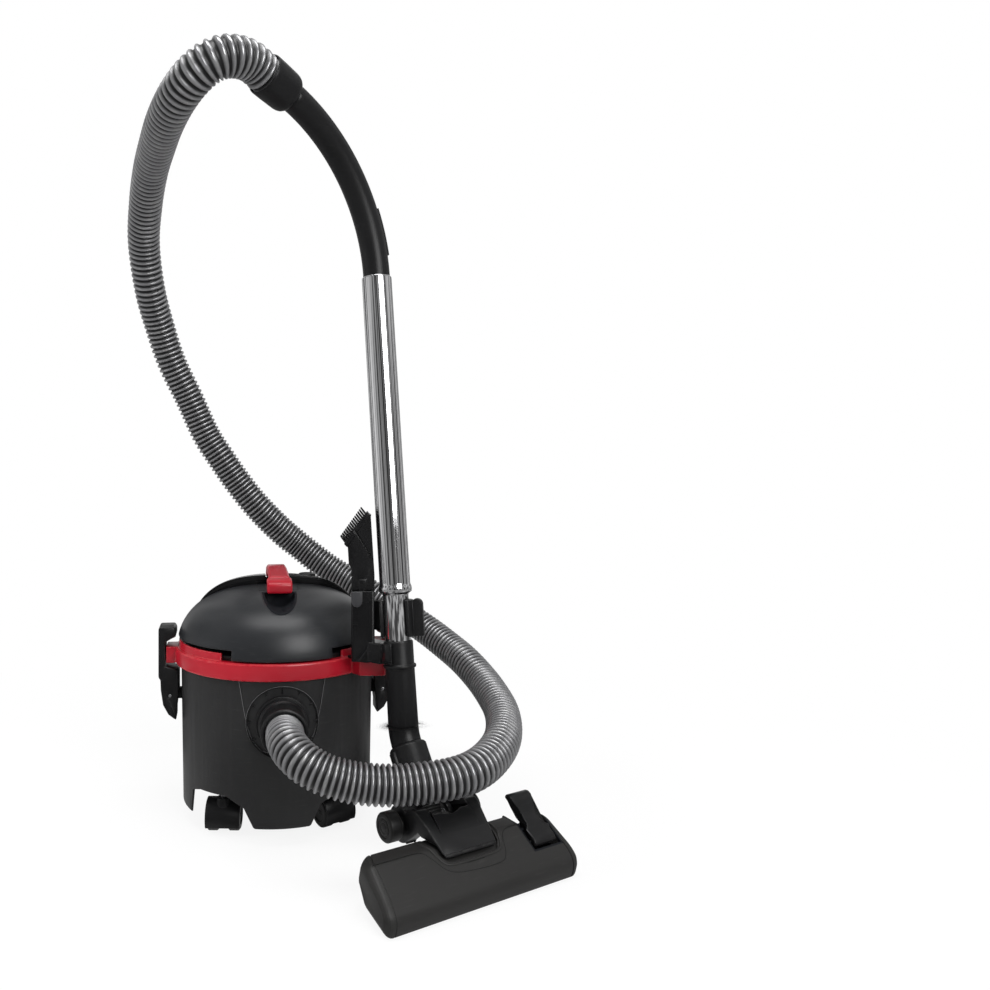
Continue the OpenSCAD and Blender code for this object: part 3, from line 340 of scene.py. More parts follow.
worn_edge = plastic("worn_edge", (0.16, 0.16, 0.165), (0.24, 0.24, 0.24), 0.4)
dial_line = [
    on_wall(index_radius * sin(radians(a)), inlet_height + index_radius * cos(radians(a)), 1.3)
    for a in range(-118, 119, 6)
]
shield_line = [on_wall(x, inlet_height + z) for x, z in (
    (-54.8, 58), (-51.5, 40), (-48.2, 20), (-45, 4), (-41.6, -9), (-37.5, -20), (-31, -29.5),
    (-22.5, -35.6), (-10, -36.4), (10, -36.4), (22.5, -35.6), (31, -29.5), (37.5, -20),
    (41.6, -9), (45, 4), (48.2, 20), (51.5, 40), (54.8, 58),
)]
for name, line in (("dial_bead", dial_line), ("shield_bead", shield_line)):
    path = smooth_path(line, 3)
    bm = tube(path, [bead_radius] * len(path), 8)
    bmesh.ops.translate(bm, vec=tub_axis, verts=bm.verts)
    piece(name, bm, worn_edge, "tub", (), 60)

# Red band. A separate glossy ring that snaps round the tub's rim, with an ear at each side
# for the latches and a lug for the parking bracket.
band_red = plastic(
    "band_red", (0.36, 0.005, 0.016), (0.5, 0.07, 0.07), 0.3, 0.000006, 900, 0.2, 0.4
)
moulded("red_band", 0.0012, band_red, 3)

# Black mouldings of the tub: the inlet with its index ring, the latches and the bushes of the
# casters in satin plastic, and a rubber seal round the inlet's mouth.
satin_black = plastic("satin_black", (0.007, 0.007, 0.0075), (0.04, 0.04, 0.04), 0.36)
gloss_black = plastic(
    "gloss_black", (0.005, 0.005, 0.0055), (0.03, 0.03, 0.03), 0.22, 0.000006, 900, 0.1
)
rubber = plastic("rubber", (0.009, 0.009, 0.009), (0.03, 0.03, 0.03), 0.62, 0.00003, 700)
for node, width in (
    ("inlet_dial", 0.0003), ("inlet_socket", 0.0008), ("latch_left", 0.0016),
    ("latch_right", 0.0016), ("stem_bushes", 0.0004),
):
    moulded(node, width, satin_black)
moulded("inlet_seal", 0, rubber)


# Steel pins and stems. The latches turn on pins through the band's ears, and each caster on a
# stem pressed into its bush, all turned and zinc plated.
def metal(name, colour, rough, streak=(900, 900, 20), depth=0.000004):
    """Bare metal with fine drawn lines and a few smudges."""
    f = finish(name)
    drawn = f.noise(1, 3, streak)
    smudge = f.noise(24, 4)
    return f.done(
        base_color=f.mix(smudge, colour, tuple(c * 0.8 for c in colour)),
        metallic=1.0,
        roughness=drawn * 0.1 + smudge * 0.08 + (rough - 0.08),
        normal=f.bump(drawn, depth),
    )


corners = ("fl", "fr", "bl", "br")
steel = metal("zinc_steel", (0.6, 0.6, 0.62), 0.3)
moulded("latch_pins", 0.0003, steel)
for corner in corners:
    moulded("caster_stem_" + corner, 0.0003, steel)

# Casters. Twin wheels of grey-black nylon, clipped on an axle that is moulded in one piece with
# the hood above them.
wheel_black = plastic("wheel_black", (0.01, 0.01, 0.01), (0.06, 0.06, 0.055), 0.42, 0.00003)
for corner in corners:
    moulded("caster_hood_" + corner, 0.0007, satin_black)
    moulded("twin_wheel_" + corner, 0.0005, wheel_black)


# What the tub holds. A dust bag of soft fleece glued to its card, and above it a pleated filter
# potted in a plastic frame.
def fleece(name, colour, scale):
    """Felted fibre or paper, mottled and matt."""
    f = finish(name)
    fibre = f.noise(scale, 5)
    return f.done(
        base_color=f.mix(fibre, colour, tuple(c * 0.7 for c in colour)),
        roughness=0.9,
        normal=f.bump(fibre, 0.0002),
    )


bag_cloth = fleece("bag_cloth", (0.6, 0.56, 0.48), 500)
card = fleece("bag_card", (0.5, 0.4, 0.28), 300)
filter_white = fleece("filter_white", (0.8, 0.8, 0.78), 800)
moulded("dust_bag", 0.002, bag_cloth)
moulded("bag_card", 0.0003, card)
moulded("filter_media", 0, filter_white)
moulded("filter_frame", 0.0005, satin_black)

# Lid. A dark grey dome screwed down on a black base plate with a rubber gasket, and between
# them the motor and its fan in a cast housing. Switch and cord gland are at the back.
lid_grey = plastic("lid_grey", (0.014, 0.015, 0.017), (0.08, 0.08, 0.08), 0.36, shine=0.45)
moulded("lid_dome", 0.0009, lid_grey)
# The wells' black is darker and duller than the other black mouldings: partly the insert's own
# black, partly painted shade in the hollows.
well_black = plastic("well_black", (0.006, 0.007, 0.009), (0.02, 0.02, 0.02), 0.6, shine=0.12)
moulded("grip_well", 0, well_black)
moulded("lid_base", 0.0005, satin_black)
moulded("lid_gasket", 0, rubber)
moulded("switch_button", 0.001, gloss_black)
moulded("cord_gland", 0.0006, rubber)
cast = metal("cast_aluminium", (0.5, 0.5, 0.52), 0.45, (300, 300, 300), 0.00004)
for node in ("fan_housing", "impeller", "motor"):
    moulded(node, 0, cast)


# Rear hood. A thin black cover over the exhaust behind the dome's crest, moulded to the same
# full shape, with a slot just wide enough for the carrying grip.
def turned(outline, steps):
    """A surface turned round the z axis from radii and heights in millimetres."""
    bm = bmesh.new()
    line = [bm.verts.new((r / 1000, 0, z / 1000)) for r, z in outline]
    line = [bm.edges.new(pair) for pair in zip(line, line[1:])]
    bmesh.ops.spin(
        bm, geom=line + bm.verts[:], cent=(0, 0, 0), axis=(0, 0, 1), dvec=(0, 0, 0),
        angle=2 * pi, steps=steps, use_merge=True, use_duplicate=False,
    )
    bmesh.ops.remove_doubles(bm, verts=bm.verts, dist=1e-6)
    return bm


dome_foot = 228


def dome_outline(radius, height, fullness, first, steps):
    """Radii and heights up a full-sided dome on the lid, in millimetres."""
    return [
        (radius * cos(a) ** (2 / 3), dome_foot + height * sin(a) ** (2 / fullness))
        for a in (pi / 2 * k / steps for k in range(first, steps + 1))
    ]


def cut(bm, planes):
    """Cuts a mesh along planes: a point, a normal, and whether what lies ahead goes."""
    for point, normal, cleared in planes:
        bmesh.ops.bisect_plane(
            bm, geom=bm.verts[:] + bm.edges[:] + bm.faces[:], dist=1e-6,
            plane_co=point, plane_no=normal, clear_outer=cleared,
        )


def verts_in(geom):
    return [v for v in geom if isinstance(v, bmesh.types.BMVert)]


def walled(bm, rim, depth):
    """Drops a wall straight down from the open edges of a rim."""
    wall = bmesh.ops.extrude_edge_only(bm, edges=rim)["geom"]
    bmesh.ops.translate(bm, vec=(0, 0, -depth), verts=verts_in(wall))


hood_front = 0.012
slot_half, slot_back = 0.0152, 0.0785
rim_low = 0.262
bm = turned(dome_outline(118, 87, 2.5, 6, 40), 144)
cut(bm, (
    ((0, hood_front, 0), (0, -1, 0), True), ((-slot_half, 0, 0), (1, 0, 0), False),
    ((slot_half, 0, 0), (1, 0, 0), False), ((0, slot_back, 0), (0, 1, 0), False),
))
bmesh.ops.delete(bm, geom=[
    face for face in bm.faces
    if abs(face.calc_center_median().x) < slot_half and face.calc_center_median().y < slot_back
], context="FACES")
walled(bm, [
    e for e in bm.edges if len(e.link_faces) == 1 and max(v.co.z for v in e.verts) > rim_low
], 0.0125)
bmesh.ops.recalc_face_normals(bm, faces=bm.faces)
bmesh.ops.translate(bm, vec=tub_axis, verts=bm.verts)
crown = max(bm.faces, key=lambda face: face.calc_center_median().z)
if crown.normal.z < 0:
    bmesh.ops.reverse_faces(bm, faces=bm.faces)
bmesh.ops.solidify(bm, geom=bm.faces[:], thickness=0.0015)
rounded(bm, 0.0007, 2, 50)
piece("rear_hood_shell", bm, gloss_black, "lid", ["rear_hood"])

# Grip surround. Two lips of the dome's own skin that close the hand well up to the grip's
# sides and leave the hollow below it free.
lip_front, lip_back = -0.0382, 0.0125
lip_in, lip_out = 0.0151, 0.0262
bm = turned(dome_outline(134, 75, 1.9, 20, 60), 192)
cut(bm, (
    ((0, lip_back, 0), (0, 1, 0), True), ((0, lip_front, 0), (0, -1, 0), True),
    ((lip_out, 0, 0), (1, 0, 0), True), ((-lip_out, 0, 0), (-1, 0, 0), True),
    ((lip_in, 0, 0), (1, 0, 0), False), ((-lip_in, 0, 0), (1, 0, 0), False),
))
bmesh.ops.delete(bm, geom=[
    face for face in bm.faces if abs(face.calc_center_median().x) < lip_in
], context="FACES")
walled(bm, [e for e in bm.edges if len(e.link_faces) == 1], 0.004)
bmesh.ops.holes_fill(bm, edges=bm.edges, sides=0)
bmesh.ops.recalc_face_normals(bm, faces=bm.faces)
bmesh.ops.translate(bm, vec=tub_axis, verts=bm.verts)
piece("grip_surround", bm, lid_grey, "lid")


# Carrying grip. A solid red bar with a thick rounded foot at its front, screwed down into the
# well in the lid, its shaft a little narrower than the foot and tapered to the back.
def slab(x0, x1, outline, bm=None):
    """A closed solid from x0 to x1 whose outline has y and z, all in millimetres."""
    bm = bmesh.new() if bm is None else bm
    flank = bm.faces.new([bm.verts.new((x0 / 1000, y / 1000, z / 1000)) for y, z in outline])
    grown = bmesh.ops.extrude_face_region(bm, geom=[flank])["geom"]
    bmesh.ops.translate(bm, vec=((x1 - x0) / 1000, 0, 0), verts=verts_in(grown))
    bmesh.ops.recalc_face_normals(bm, faces=bm.faces)
    return bm


grip_top = dome_foot + 98.5
taper_start, taper_run, taper = -0.045, 0.09, 0.09
bm = bmesh.new()
for half, outline in (
    (14.0, ((-50, -24), (-37.5, -25), (-34, -17), (-22, -11), (50, -10.5), (56, -12),
            (60, -19.5), (75, -23.5), (77, -15.5), (68, -6), (40, -0.5), (10, 0), (-20, -2),
            (-44, -4.6), (-51, -5.8))),
    (16.3, ((-66, -25.5), (-52, -26.5), (-47, -26.6), (-46.5, -6.4), (-52, -7), (-60, -9),
            (-67, -13.5))),
):
    slab(-half, half, [(y, grip_top + z) for y, z in outline], bm)
bmesh.ops.bevel(
    bm, geom=[e for e in bm.edges if e.calc_face_angle() > radians(14)], offset=0.0036,
    offset_type="OFFSET", affect="EDGES", segments=4, profile=0.5, material=-1,
    clamp_overlap=True,
)
for vert in bm.verts:
    if vert.co.y > taper_start:
        vert.co.x *= 1 - taper * min((vert.co.y - taper_start) / taper_run, 1)
bmesh.ops.translate(bm, vec=tub_axis, verts=bm.verts)
piece("carrying_grip", bm, band_red, "lid", ["grip"], 50)

# Hose. Blown plastic with one proud round rib every 6 to 10 mm, metallic grey, which leaves the
# inlet, rounds the right side, climbs behind the lid and comes forward to the handle.
hose_radius = 0.023
hose_route = (
    (0, -0.1515, 0.153), (0, -0.174, 0.153), (0, -0.197, 0.1526), (0.005, -0.217, 0.148),
    (0.018, -0.233, 0.139), (0.042, -0.243, 0.128), (0.076, -0.247, 0.119),
    (0.116, -0.248, 0.115), (0.157, -0.247, 0.116), (0.188, -0.242, 0.118),
    (0.214, -0.230, 0.121), (0.240, -0.204, 0.125), (0.263, -0.170, 0.131),
    (0.280, -0.127, 0.136), (0.290, -0.083, 0.143), (0.292, -0.043, 0.151),
    (0.289, 0.003, 0.162), (0.277, 0.045, 0.178), (0.262, 0.082, 0.191),
    (0.232, 0.127, 0.213), (0.185, 0.163, 0.242), (0.126, 0.196, 0.277),
    (0.089, 0.211, 0.300), (0.048, 0.222, 0.332), (0.017, 0.221, 0.358),
    (-0.021, 0.216, 0.397), (-0.052, 0.215, 0.436), (-0.078, 0.213, 0.474),
    (-0.102, 0.211, 0.512), (-0.128, 0.205, 0.569), (-0.154, 0.193, 0.624),
    (-0.171, 0.175, 0.677), (-0.183, 0.146, 0.727), (-0.188, 0.104, 0.787),
    (-0.180, 0.045, 0.829), (-0.168, -0.020, 0.855), (-0.154, -0.085, 0.868),
    (-0.140, -0.145, 0.877), (-0.123, -0.193, 0.888), (-0.104, -0.222, 0.901),
    (-0.084, -0.234, 0.913), (-0.0635, -0.232, 0.9205), (-0.0425, -0.2195, 0.9219),
    (-0.0258, -0.2053, 0.9149), (-0.0091, -0.1911, 0.9079),
)
hose_line = [tub_axis + point for point in smooth_path(hose_route, 20, 1)]
hose_run = [0.0]
for first, second in zip(hose_line, hose_line[1:]):
    hose_run.append(hose_run[-1] + (second - first).length)
hose_length = hose_run[-1]
# Spacing of the ribs along the hose, wider where its own weight draws it out
pitches = ((0.0, 0.0062), (0.15, 0.0069), (0.33, 0.0082), (0.5, 0.0075), (0.7, 0.0067),
           (0.95, 0.0063), (1.2, 0.0071), (1.45, 0.0083), (1.65, 0.0096), (1.8, 0.0086),
           (2.1, 0.0070))
# Where each ring of a rib stands in its pitch, how far it sinks and how much of a crest it is;
# what is not crest gets the near-black painted shade of the grooves
rib_rings = ((0.0, 0.0036, 0.0), (0.18, 0.0030, 0.0), (0.30, 0.0011, 0.5), (0.43, 0.0001, 1.0),
             (0.57, 0.0, 1.0), (0.70, 0.0009, 0.6), (0.82, 0.0029, 0.0))
rib_starts = [0.0]
while rib_starts[-1] < hose_length:
    here = rib_starts[-1]
    near, far = next(pair for pair in zip(pitches, pitches[1:]) if pair[1][0] > here)
    share = (here - near[0]) / (far[0] - near[0])
    rib_starts.append(here + near[1] + share * (far[1] - near[1]))
ribs = len(rib_starts) - 1
stretch = hose_length / rib_starts[-1]
bm = bmesh.new()
bmesh.ops.create_circle(bm, segments=28, radius=1.0)
bmesh.ops.spin(
    bm, geom=bm.edges[:] + bm.verts[:], cent=(0, 0, 0), axis=(0, 0, 1),
    dvec=(0, 0, 1), angle=0, steps=ribs * len(rib_rings), use_duplicate=False,
)
crest = bm.verts.layers.float.new("crest")
side = Vector((1, 0, 0))
frames = []
at = 0
for ring in range(ribs * len(rib_rings) + 1):
    phase, sink, crest_unshaded = rib_rings[ring % len(rib_rings)]
    rib = min(ring // len(rib_rings), ribs - 1)
    phase += ring // len(rib_rings) - rib
    run = rib_starts[rib] + phase * (rib_starts[rib + 1] - rib_starts[rib])
    run = min(run * stretch, hose_length)
    while at < len(hose_run) - 2 and hose_run[at + 1] < run:
        at += 1
    share = (run - hose_run[at]) / (hose_run[at + 1] - hose_run[at])
    centre = hose_line[at].lerp(hose_line[at + 1], share)
    ahead = hose_line[min(at + 2, len(hose_line) - 1)] - hose_line[max(at - 1, 0)]
    ahead.normalize()
    side = (side - ahead * side.dot(ahead)).normalized()
    frames.append((centre, side, ahead.cross(side), hose_radius - sink, crest_unshaded))
for vert in bm.verts:
    centre, across, up, radius, crest_unshaded = frames[round(vert.co.z)]
    vert[crest] = crest_unshaded
    vert.co = centre + radius * (across * vert.co.x + up * vert.co.y)
bmesh.ops.recalc_face_normals(bm, faces=bm.faces)
# The crests carry the hose's rubbed grey; the grooves between the ribs are painted near black, as
# painted shade in the grooves.
f = finish("hose_grey")
ridge = f.node("Attribute", {"attribute_name": "crest"}, (), "Fac")
scuffed = ((f.noise(70, 4) - 0.5) * 4).clipped()
rubbed_grey = f.mix(scuffed, (0.34, 0.34, 0.35), (0.46, 0.46, 0.46))
hose_grey = f.done(
    base_color=f.mix(ridge, (0.006, 0.006, 0.0065), rubbed_grey),
    metallic=ridge * 0.75,
    roughness=0.4 - ridge * 0.12 + scuffed * 0.08,
    normal=f.bump(f.noise(900, 2), 0.00002),
)
hose = piece("ribbed_hose", bm, hose_grey, "tub", ["hose"], 180)
hose_line[::2] + hose_line[-1:]

# Inlet cuff, handle and bleed slider. The cuff turns in the inlet and takes the hose's end, and
# the slider lies over a bleed port in the bent handle. All three are black mouldings.
moulded("inlet_cuff", 0.0008, satin_black)
moulded("handle_tube", 0, satin_black)
moulded("suction_slider", 0.0005, gloss_black)

# Wand. A chromed steel tube, swaged down at its foot behind a rolled bead, where it plugs into
# the floor tool's neck. It stands by the bracket and leans back a little.
f = finish("wand_chrome")
drawn = f.noise(1, 2, (260, 260, 2))
prints = ((f.noise(40, 5) - 0.5) * 3).clipped()
wand_chrome = f.done(
    base_color=f.mix(prints * 0.4, (0.80, 0.80, 0.81), (0.66, 0.66, 0.68)),
    metallic=1.0,
    roughness=prints * 0.05 + drawn * 0.03 + 0.03,
    normal=f.bump(drawn, 0.00001),
)
wand_lean = radians(6.07)
wand_foot = 0.2574
pole_frame = (
    Matrix.Translation(tub_axis + Vector((0.14063, -0.14361, 0)))
    @ Matrix.Rotation(radians(24.24), 4, "Z")
)
wand_frame = (
    pole_frame @ Matrix.Translation((0, 0, wand_foot)) @ Matrix.Rotation(-wand_lean, 4, "X")
)
bm = turned((
    (14.5, -34), (15.7, -34), (16, -33.5), (16, 51.5), (16.3, 52.6), (17.4, 53.6), (19.4, 54.6),
    (20.2, 55.8), (20.5, 57.4), (20.5, 60), (20.2, 61.6), (19.6, 63), (19.1, 64.6), (19, 66.5),
    (19, 260), (19, 449), (18.9, 450.2), (18.5, 450.9), (17.9, 451), (17.1, 450.8),
    (17.1, 410), (14.5, 403), (14.5, -34),
), 96)
bmesh.ops.recalc_face_normals(bm, faces=bm.faces)
bmesh.ops.transform(bm, matrix=wand_frame, verts=bm.verts)
piece("drawn_wand", bm, wand_chrome, "tub", ["wand_tube"], 60)

# Handle cuff. A plain black barrel with a round shoulder, pushed over the end of the bent
# handle, that the hose's last ribs are snapped into through a small window.
wand_top = 0.451
handle_bend, handle_sweep = 0.2, radians(74)
window_side = 0.0042
cuff_frame = (
    wand_frame @ Matrix.Translation((0, 0, wand_top)) @ Matrix.Rotation(radians(198), 4, "Z")
    @ Matrix.Translation(
        (handle_bend * (1 - cos(handle_sweep)), 0, handle_bend * sin(handle_sweep))
    ) @ Matrix.Rotation(handle_sweep, 4, "Y")
)
bm = turned((
    (16.8, 0.2), (19.4, 0), (21.2, 0.9), (22.7, 2.8), (23.7, 5.6), (24.2, 9), (24.5, 16),
    (24.9, 30), (25.0, 38), (24.9, 41.2), (24.4, 42.4), (23.6, 42.6), (23.3, 42), (23.3, 22),
    (16.8, 18), (16.8, 0.2),
), 72)
bmesh.ops.recalc_face_normals(bm, faces=bm.faces)
bmesh.ops.create_cube(bm, size=1, matrix=(
    Matrix.Rotation(radians(235), 4, "Z") @ Matrix.Translation((0.0249, 0, 0.031))
    @ Matrix.Diagonal((0.0007, window_side, window_side, 1))
))
bmesh.ops.transform(bm, matrix=cuff_frame, verts=bm.verts)
piece("handle_barrel", bm, satin_black, "tub", ["handle_cuff"])

# Parking bracket with its clip, and the combination tool that stands in its pocket: a nozzle
# whose slanted brush has four rows of tufts, each cone one tuft, splayed a little.
moulded("tool_holder", 0.0008, gloss_black)
moulded("wand_clip", 0.0008, satin_black)
moulded("combi_tool", 0.0008, gloss_black)
bristle = plastic("bristle", (0.014, 0.014, 0.014), (0.1, 0.1, 0.1), 0.5, 0.00002)
tool_frame = (
    Matrix.Translation(tub_axis) @ Matrix.Rotation(radians(-48), 4, "Z")
    @ Matrix.Translation((0.1584, -0.008, 0)) @ Matrix.Rotation(radians(40), 4, "Z")
)
tufts, rows = 14, 4
tuft_length = 0.0105
pad_slant = Matrix.Rotation(radians(-38), 4, "Y")
bm = bmesh.new()
for k in range(tufts):
    for row in range(rows):
        root = (-0.0212 + k * 0.00192, -0.0087 + row * 0.0058, 0.3722 + k * 0.00268)
        splay = radians((k * 7 + row * 5) % 9 - 4)
        bmesh.ops.create_cone(
            bm, cap_ends=True, segments=7, radius1=0.00115, radius2=0.0008, depth=tuft_length,
            matrix=(
                Matrix.Translation(root) @ pad_slant @ Matrix.Rotation(splay, 4, "X")
                @ Matrix.Translation((0, 0, 0.0052))
            ),
        )
bmesh.ops.transform(bm, matrix=tool_frame, verts=bm.verts)
piece("brush_tufts", bm, bristle, "tool", ["combi_bristles"])

# Tongue of the pocket. A rounded tab on its front, moulded with it and coloured paler, that
# springs over the tool's nozzle.
tab_face, tab_top = -0.0132, 313
bm = bmesh.new()
tab = [bm.verts.new((x / 1000, tab_face, (tab_top + z) / 1000)) for x, z in (
    (-14.3, -0.4), (-0.8, -0.4), (-0.8, -12), (-1.6, -15.5), (-3.6, -18.2), (-7.5, -19.6),
    (-11.4, -18.2), (-13.5, -15.5), (-14.3, -12),
)]
tab = bmesh.ops.extrude_face_region(bm, geom=[bm.faces.new(tab)])["geom"]
bmesh.ops.translate(bm, vec=(0, -0.0014, 0), verts=verts_in(tab))
bmesh.ops.recalc_face_normals(bm, faces=bm.faces)
rounded(bm, 0.0005)
bmesh.ops.transform(bm, matrix=tool_frame, verts=bm.verts)
tab_grey = plastic("tab_grey", (0.035, 0.035, 0.038), (0.09, 0.09, 0.09), 0.35)
piece("pocket_tongue", bm, tab_grey, "tub")

# Floor tool, upper half: a bent neck on the wand, and below it a sleeve with bellows that
# lets the foot twist and rock, on steel stub axles with a hard roller at each end.
moulded("neck_tube", 0.0006, satin_black)
moulded("sleeve", 0.0006, satin_black)
moulded("bellows", 0, rubber)
moulded("stub_axles", 0.0003, steel)
moulded("roller_left", 0.0005, wheel_black)
moulded("roller_right", 0.0005, wheel_black)
yoke_black = plastic("yoke_black", (0.008, 0.008, 0.0085), (0.05, 0.05, 0.05), 0.34, 0.00003, 1300)
moulded("yoke_plate", 0.0016, yoke_black, 3)

# Floor tool, foot. A hollow moulding with rounded ends and snapped-on end caps, cut away for
# the yoke's plate and the pedal, over a sole with two strips of bristle. It hangs on the axle
# below the neck's elbow and tips until its sole is on the floor.
neck_run = 0.118
leg_run, leg_lean = 0.0953, radians(32.9)
axle_rise, axle_back = 0.0364, 0.1131
foot_depth = 0.1171
elbow_y = -neck_run * sin(wand_lean)
elbow_z = wand_foot - neck_run * cos(wand_lean)
pivot_y = elbow_y - leg_run * sin(leg_lean)
pivot_z = elbow_z - leg_run * cos(leg_lean)
foot_tip = asin(pivot_z / hypot(axle_back, axle_rise)) - atan2(axle_rise, axle_back)
foot_frame = (
    pole_frame @ Matrix.Translation((0, pivot_y, pivot_z))
    @ Matrix.Rotation(foot_tip, 4, "X") @ Matrix.Translation((0, -foot_depth, -axle_rise))
)


def block(low_end, high_end):
    (x0, y0, z0), (x1, y1, z1) = low_end, high_end
    return slab(x0, x1, ((y0, z0), (y1, z0), (y1, z1), (y0, z1)))


def carved(bm, cutters):
    """Takes the space of each cutter out of a closed mesh."""
    data = bpy.data.meshes.new("blank")
    bm.to_mesh(data)
    blank = bpy.data.objects.new("blank", data)
    bpy.context.collection.objects.link(blank)
    tools = []
    for cutter in cutters:
        tool_data = bpy.data.meshes.new("cutter")
        cutter.to_mesh(tool_data)
        cutter.free()
        tools.append(bpy.data.objects.new("cutter", tool_data))
        bpy.context.collection.objects.link(tools[-1])
        hollow = blank.modifiers.new("hollow", "BOOLEAN")
        hollow.object, hollow.operation, hollow.solver = tools[-1], "DIFFERENCE", "EXACT"
    result = blank.evaluated_get(bpy.context.evaluated_depsgraph_get()).to_mesh()
    bm.clear()
    bm.from_mesh(result)
    for used in [blank] + tools:
        bpy.data.meshes.remove(used.data)
    bmesh.ops.remove_doubles(bm, verts=bm.verts, dist=1e-6)
    return bm


foot_end = 133
shell = bmesh.new()
# Depth, height and corner radius of the foot's cross-section, from its front lip round
section = ((2, 0, 2), (50, 0, 4), (80, 20, 6), (78, 42, 5), (55, 46, 4), (12, 30, 9), (0, 18, 7),
           (0.6, 4, 2.5))
flank = shell.faces.new([
    shell.verts.new((-foot_end / 1000, y / 1000, z / 1000)) for y, z, r in section
])
for vert, (y, z, r) in zip(list(shell.verts), section):
    bmesh.ops.bevel(
        shell, geom=[vert], offset=r / 1000, offset_type="OFFSET", affect="VERTICES",
        segments=5, profile=0.5, material=-1, clamp_overlap=False,
    )
# The section is drawn along the foot, smaller at its rounded ends and in the caps' seams
end_round = 9.5
stations = [(foot_end - end_round * (1 - sin(radians(a))), end_round * (1 - cos(radians(a))))
            for a in (90, 75, 60, 45, 30, 15, 0)]
stations += [(122.9, 0), (122.6, 0.8), (121.5, 0.8), (121.2, 0), (60, 0), (30, 0)]
stations = [(-u, inset) for u, inset in stations] + [(0, 0)] + stations[::-1]
core_y, core_z = 40, 21
inset_now = 0
at_station = list(shell.verts)
region = shell.faces[:]
for k, (u, inset) in enumerate(stations):
    if k:
        grown = bmesh.ops.extrude_face_region(shell, geom=region)["geom"]
        at_station = verts_in(grown)
        region = [face for face in grown if isinstance(face, bmesh.types.BMFace)]
    for vert in at_station:
        vert.co.x = u / 1000
        for axis, core in ((1, core_y), (2, core_z)):
            from_core = vert.co[axis] - core / 1000
            vert.co[axis] = core / 1000 + from_core * (core - inset) / (core - inset_now)
    inset_now = inset
# Its ends are drawn in towards the back, beyond the middle part that carries the plate
held_from, held_run = 60, 61
for vert in shell.verts:
    y = vert.co.y * 1000
    drawn_in = max(y - 9, 0) * 0.096 + max(y - 56, 0) * 0.15 + max(y - 70, 0) * 0.5
    held = min(max((abs(vert.co.x) * 1000 - held_from) / held_run, 0), 1)
    vert.co.x -= (1 if vert.co.x > 0 else -1) * drawn_in * held / 1000
bmesh.ops.recalc_face_normals(shell, faces=shell.faces)

moat = slab(-50, 50, ((28, 70), (30, 32.4), (55, 42.8), (79, 38.6), (90, 38.6), (90, 70)))
for side in (-1, 1):
    for point, normal in (
        ((40.6, 45), (43, -6.2)), ((38, 41), (4.6, -3.2)), ((32, 35.6), (2, -7)),
    ):
        cut(moat, [((side * point[0] / 1000, point[1] / 1000, 0),
                    (side * normal[0], normal[1], 0), True)])
        bmesh.ops.holes_fill(moat, edges=moat.edges, sides=0)
bmesh.ops.recalc_face_normals(moat, faces=moat.faces)
throat_bore = 15.5
bore = bmesh.new()
bmesh.ops.create_cone(
    bore, cap_ends=True, segments=48, radius1=throat_bore / 1000, radius2=throat_bore / 1000,
    depth=0.04, matrix=(
        Matrix.Translation((0, 0.080, axle_rise)) @ Matrix.Rotation(pi / 2, 4, "X")
    ),
)
shell = carved(shell, [
    block((-121, 6.4, -1), (121, 48.6, 3.1)), block((-114, 10, -2), (114, 46, 19)),
    block((77, 20, 22), (121, 90, 80)), moat, bore,
])
throat = turned((
    (throat_bore, 68), (18.5, 68), (18.5, 95.2), (17.7, 96.1), (throat_bore, 96.1),
    (throat_bore, 68),
), 48)
bmesh.ops.recalc_face_normals(throat, faces=throat.faces)
bmesh.ops.transform(
    throat, verts=throat.verts,
    matrix=Matrix.Translation((0, 0, axle_rise)) @ Matrix.Rotation(-pi / 2, 4, "X"),
)
throat_data = bpy.data.meshes.new("throat")
throat.to_mesh(throat_data)
throat.free()
shell.from_mesh(throat_data)
bpy.data.meshes.remove(throat_data)
bmesh.ops.transform(shell, matrix=foot_frame, verts=shell.verts)
head_grey = plastic("head_grey", (0.017, 0.0165, 0.016), (0.07, 0.068, 0.066), 0.46, 0.00004, 900)
piece("foot_shell", shell, head_grey, "head", ["head_cover", "head_caps"], 40)
moulded("head_sole", 0.0006, satin_black)
moulded("brush_strips", 0, bristle)


# Lines of the foot. A black seam bead runs along its ridge and dips in front of the plate, and
# a low collar of the shell's own plastic stands round the plate's hollow.
def on_cover(x, y, lift=0.0):
    """A point on the cover's front slope or on its flatter top behind the ridge."""
    return (x, y, (30 + (y - 12) * 16 / 43 if y < 55 else 46 - (y - 55) * 4 / 23) + lift)


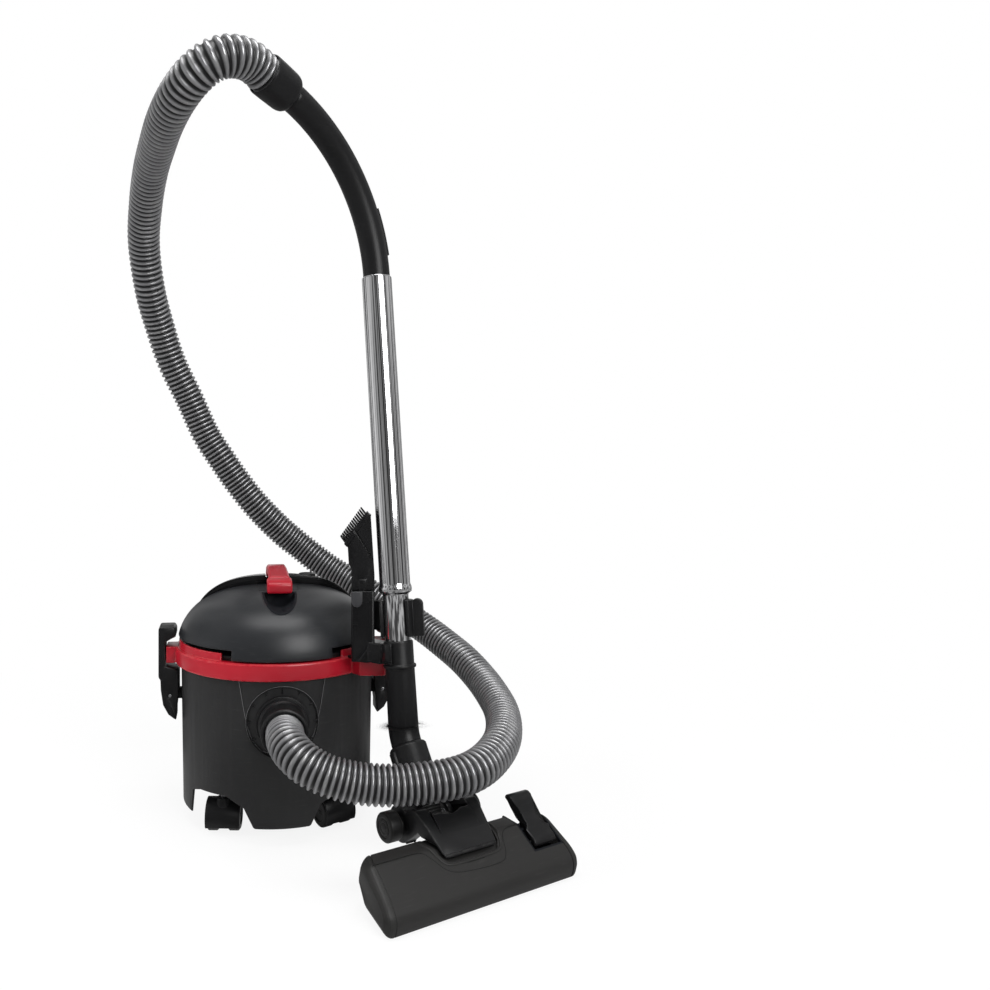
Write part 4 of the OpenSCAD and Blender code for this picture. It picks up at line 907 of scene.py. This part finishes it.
seam = smooth_path([on_cover(x, y) for x, y in (
    (-120.5, 55), (-90, 55), (-66, 54.6), (-58, 52), (-53, 47), (-48, 39), (-43, 31), (-36, 26),
    (-26, 23), (-12, 21.4), (6, 20.4), (22, 20.2), (32, 21.4), (39, 26), (44, 34), (48, 43),
    (53, 50), (60, 53.6), (68, 54.6), (76.5, 54.8),
)])
bm = tube(seam, [0.00045] * len(seam), 8)
bmesh.ops.transform(bm, matrix=foot_frame, verts=bm.verts)
piece("foot_seam", bm, rubber, "head", (), 60)
collar = smooth_path([on_cover(x, y, -0.7) for x, y in (
    (-51.5, 76), (-49.5, 66), (-47, 54), (-44.5, 46), (-41, 38.6), (-36, 34.4), (-27, 32.6),
    (0, 32), (27, 32.6), (36, 34.4), (41, 38.6), (44.5, 46), (47, 54), (49.5, 66), (51.5, 76),
)])
radii = [0.0019 * min(1, 0.35 + 0.13 * min(k, len(collar) - 1 - k)) for k in range(len(collar))]
bm = tube(collar, radii, 12)
bmesh.ops.transform(bm, matrix=foot_frame, verts=bm.verts)
piece("foot_collar", bm, head_grey, "head", (), 60)

# Rocking pedal. A black waisted plate with a pad at each end, on a steel pin across its well.
# Pressed with the shoe, it drops or lifts the brush strips under the sole.
# The pedal's well has the same darker, duller black, partly painted shade in the hollow.
moulded("pedal_well", 0, well_black)
pedal_half = 16
pedal_centre = foot_end - 34
waist_share = 0.3
bm = slab(-pedal_half, pedal_half, (
    (30, 40.5), (36, 42.6), (42, 44.8), (46, 46.3), (50, 47.8), (55, 50), (60, 53.2), (65, 57),
    (70, 61), (75, 65), (80, 66), (84.5, 64.6), (86, 60.5), (80, 58), (74, 53.6), (70, 50.2),
    (65, 46), (60, 42.3), (55, 40), (50, 38.2), (44, 36.4), (38, 35), (30, 31), (26.5, 32.6),
    (26.5, 37),
))
for vert in bm.verts:
    y = vert.co.y * 1000
    waist = min(max((y - 41) / 9, 0), 1) * min(max((71 - y) / 9, 0), 1)
    vert.co.x *= 1 - waist_share * waist * waist * (3 - 2 * waist)
rims = [e for e in bm.edges if e.calc_face_angle() > radians(40)]
bmesh.ops.bevel(
    bm, geom=rims, offset=0.0014, offset_type="OFFSET", affect="EDGES", segments=3,
    profile=0.5, material=-1, clamp_overlap=True,
)
bmesh.ops.translate(bm, vec=(pedal_centre / 1000, 0, 0), verts=bm.verts)
bmesh.ops.transform(bm, matrix=foot_frame, verts=bm.verts)
piece("rocking_pedal", bm, yoke_black, "pedal_rocker", ["pedal"], 45)
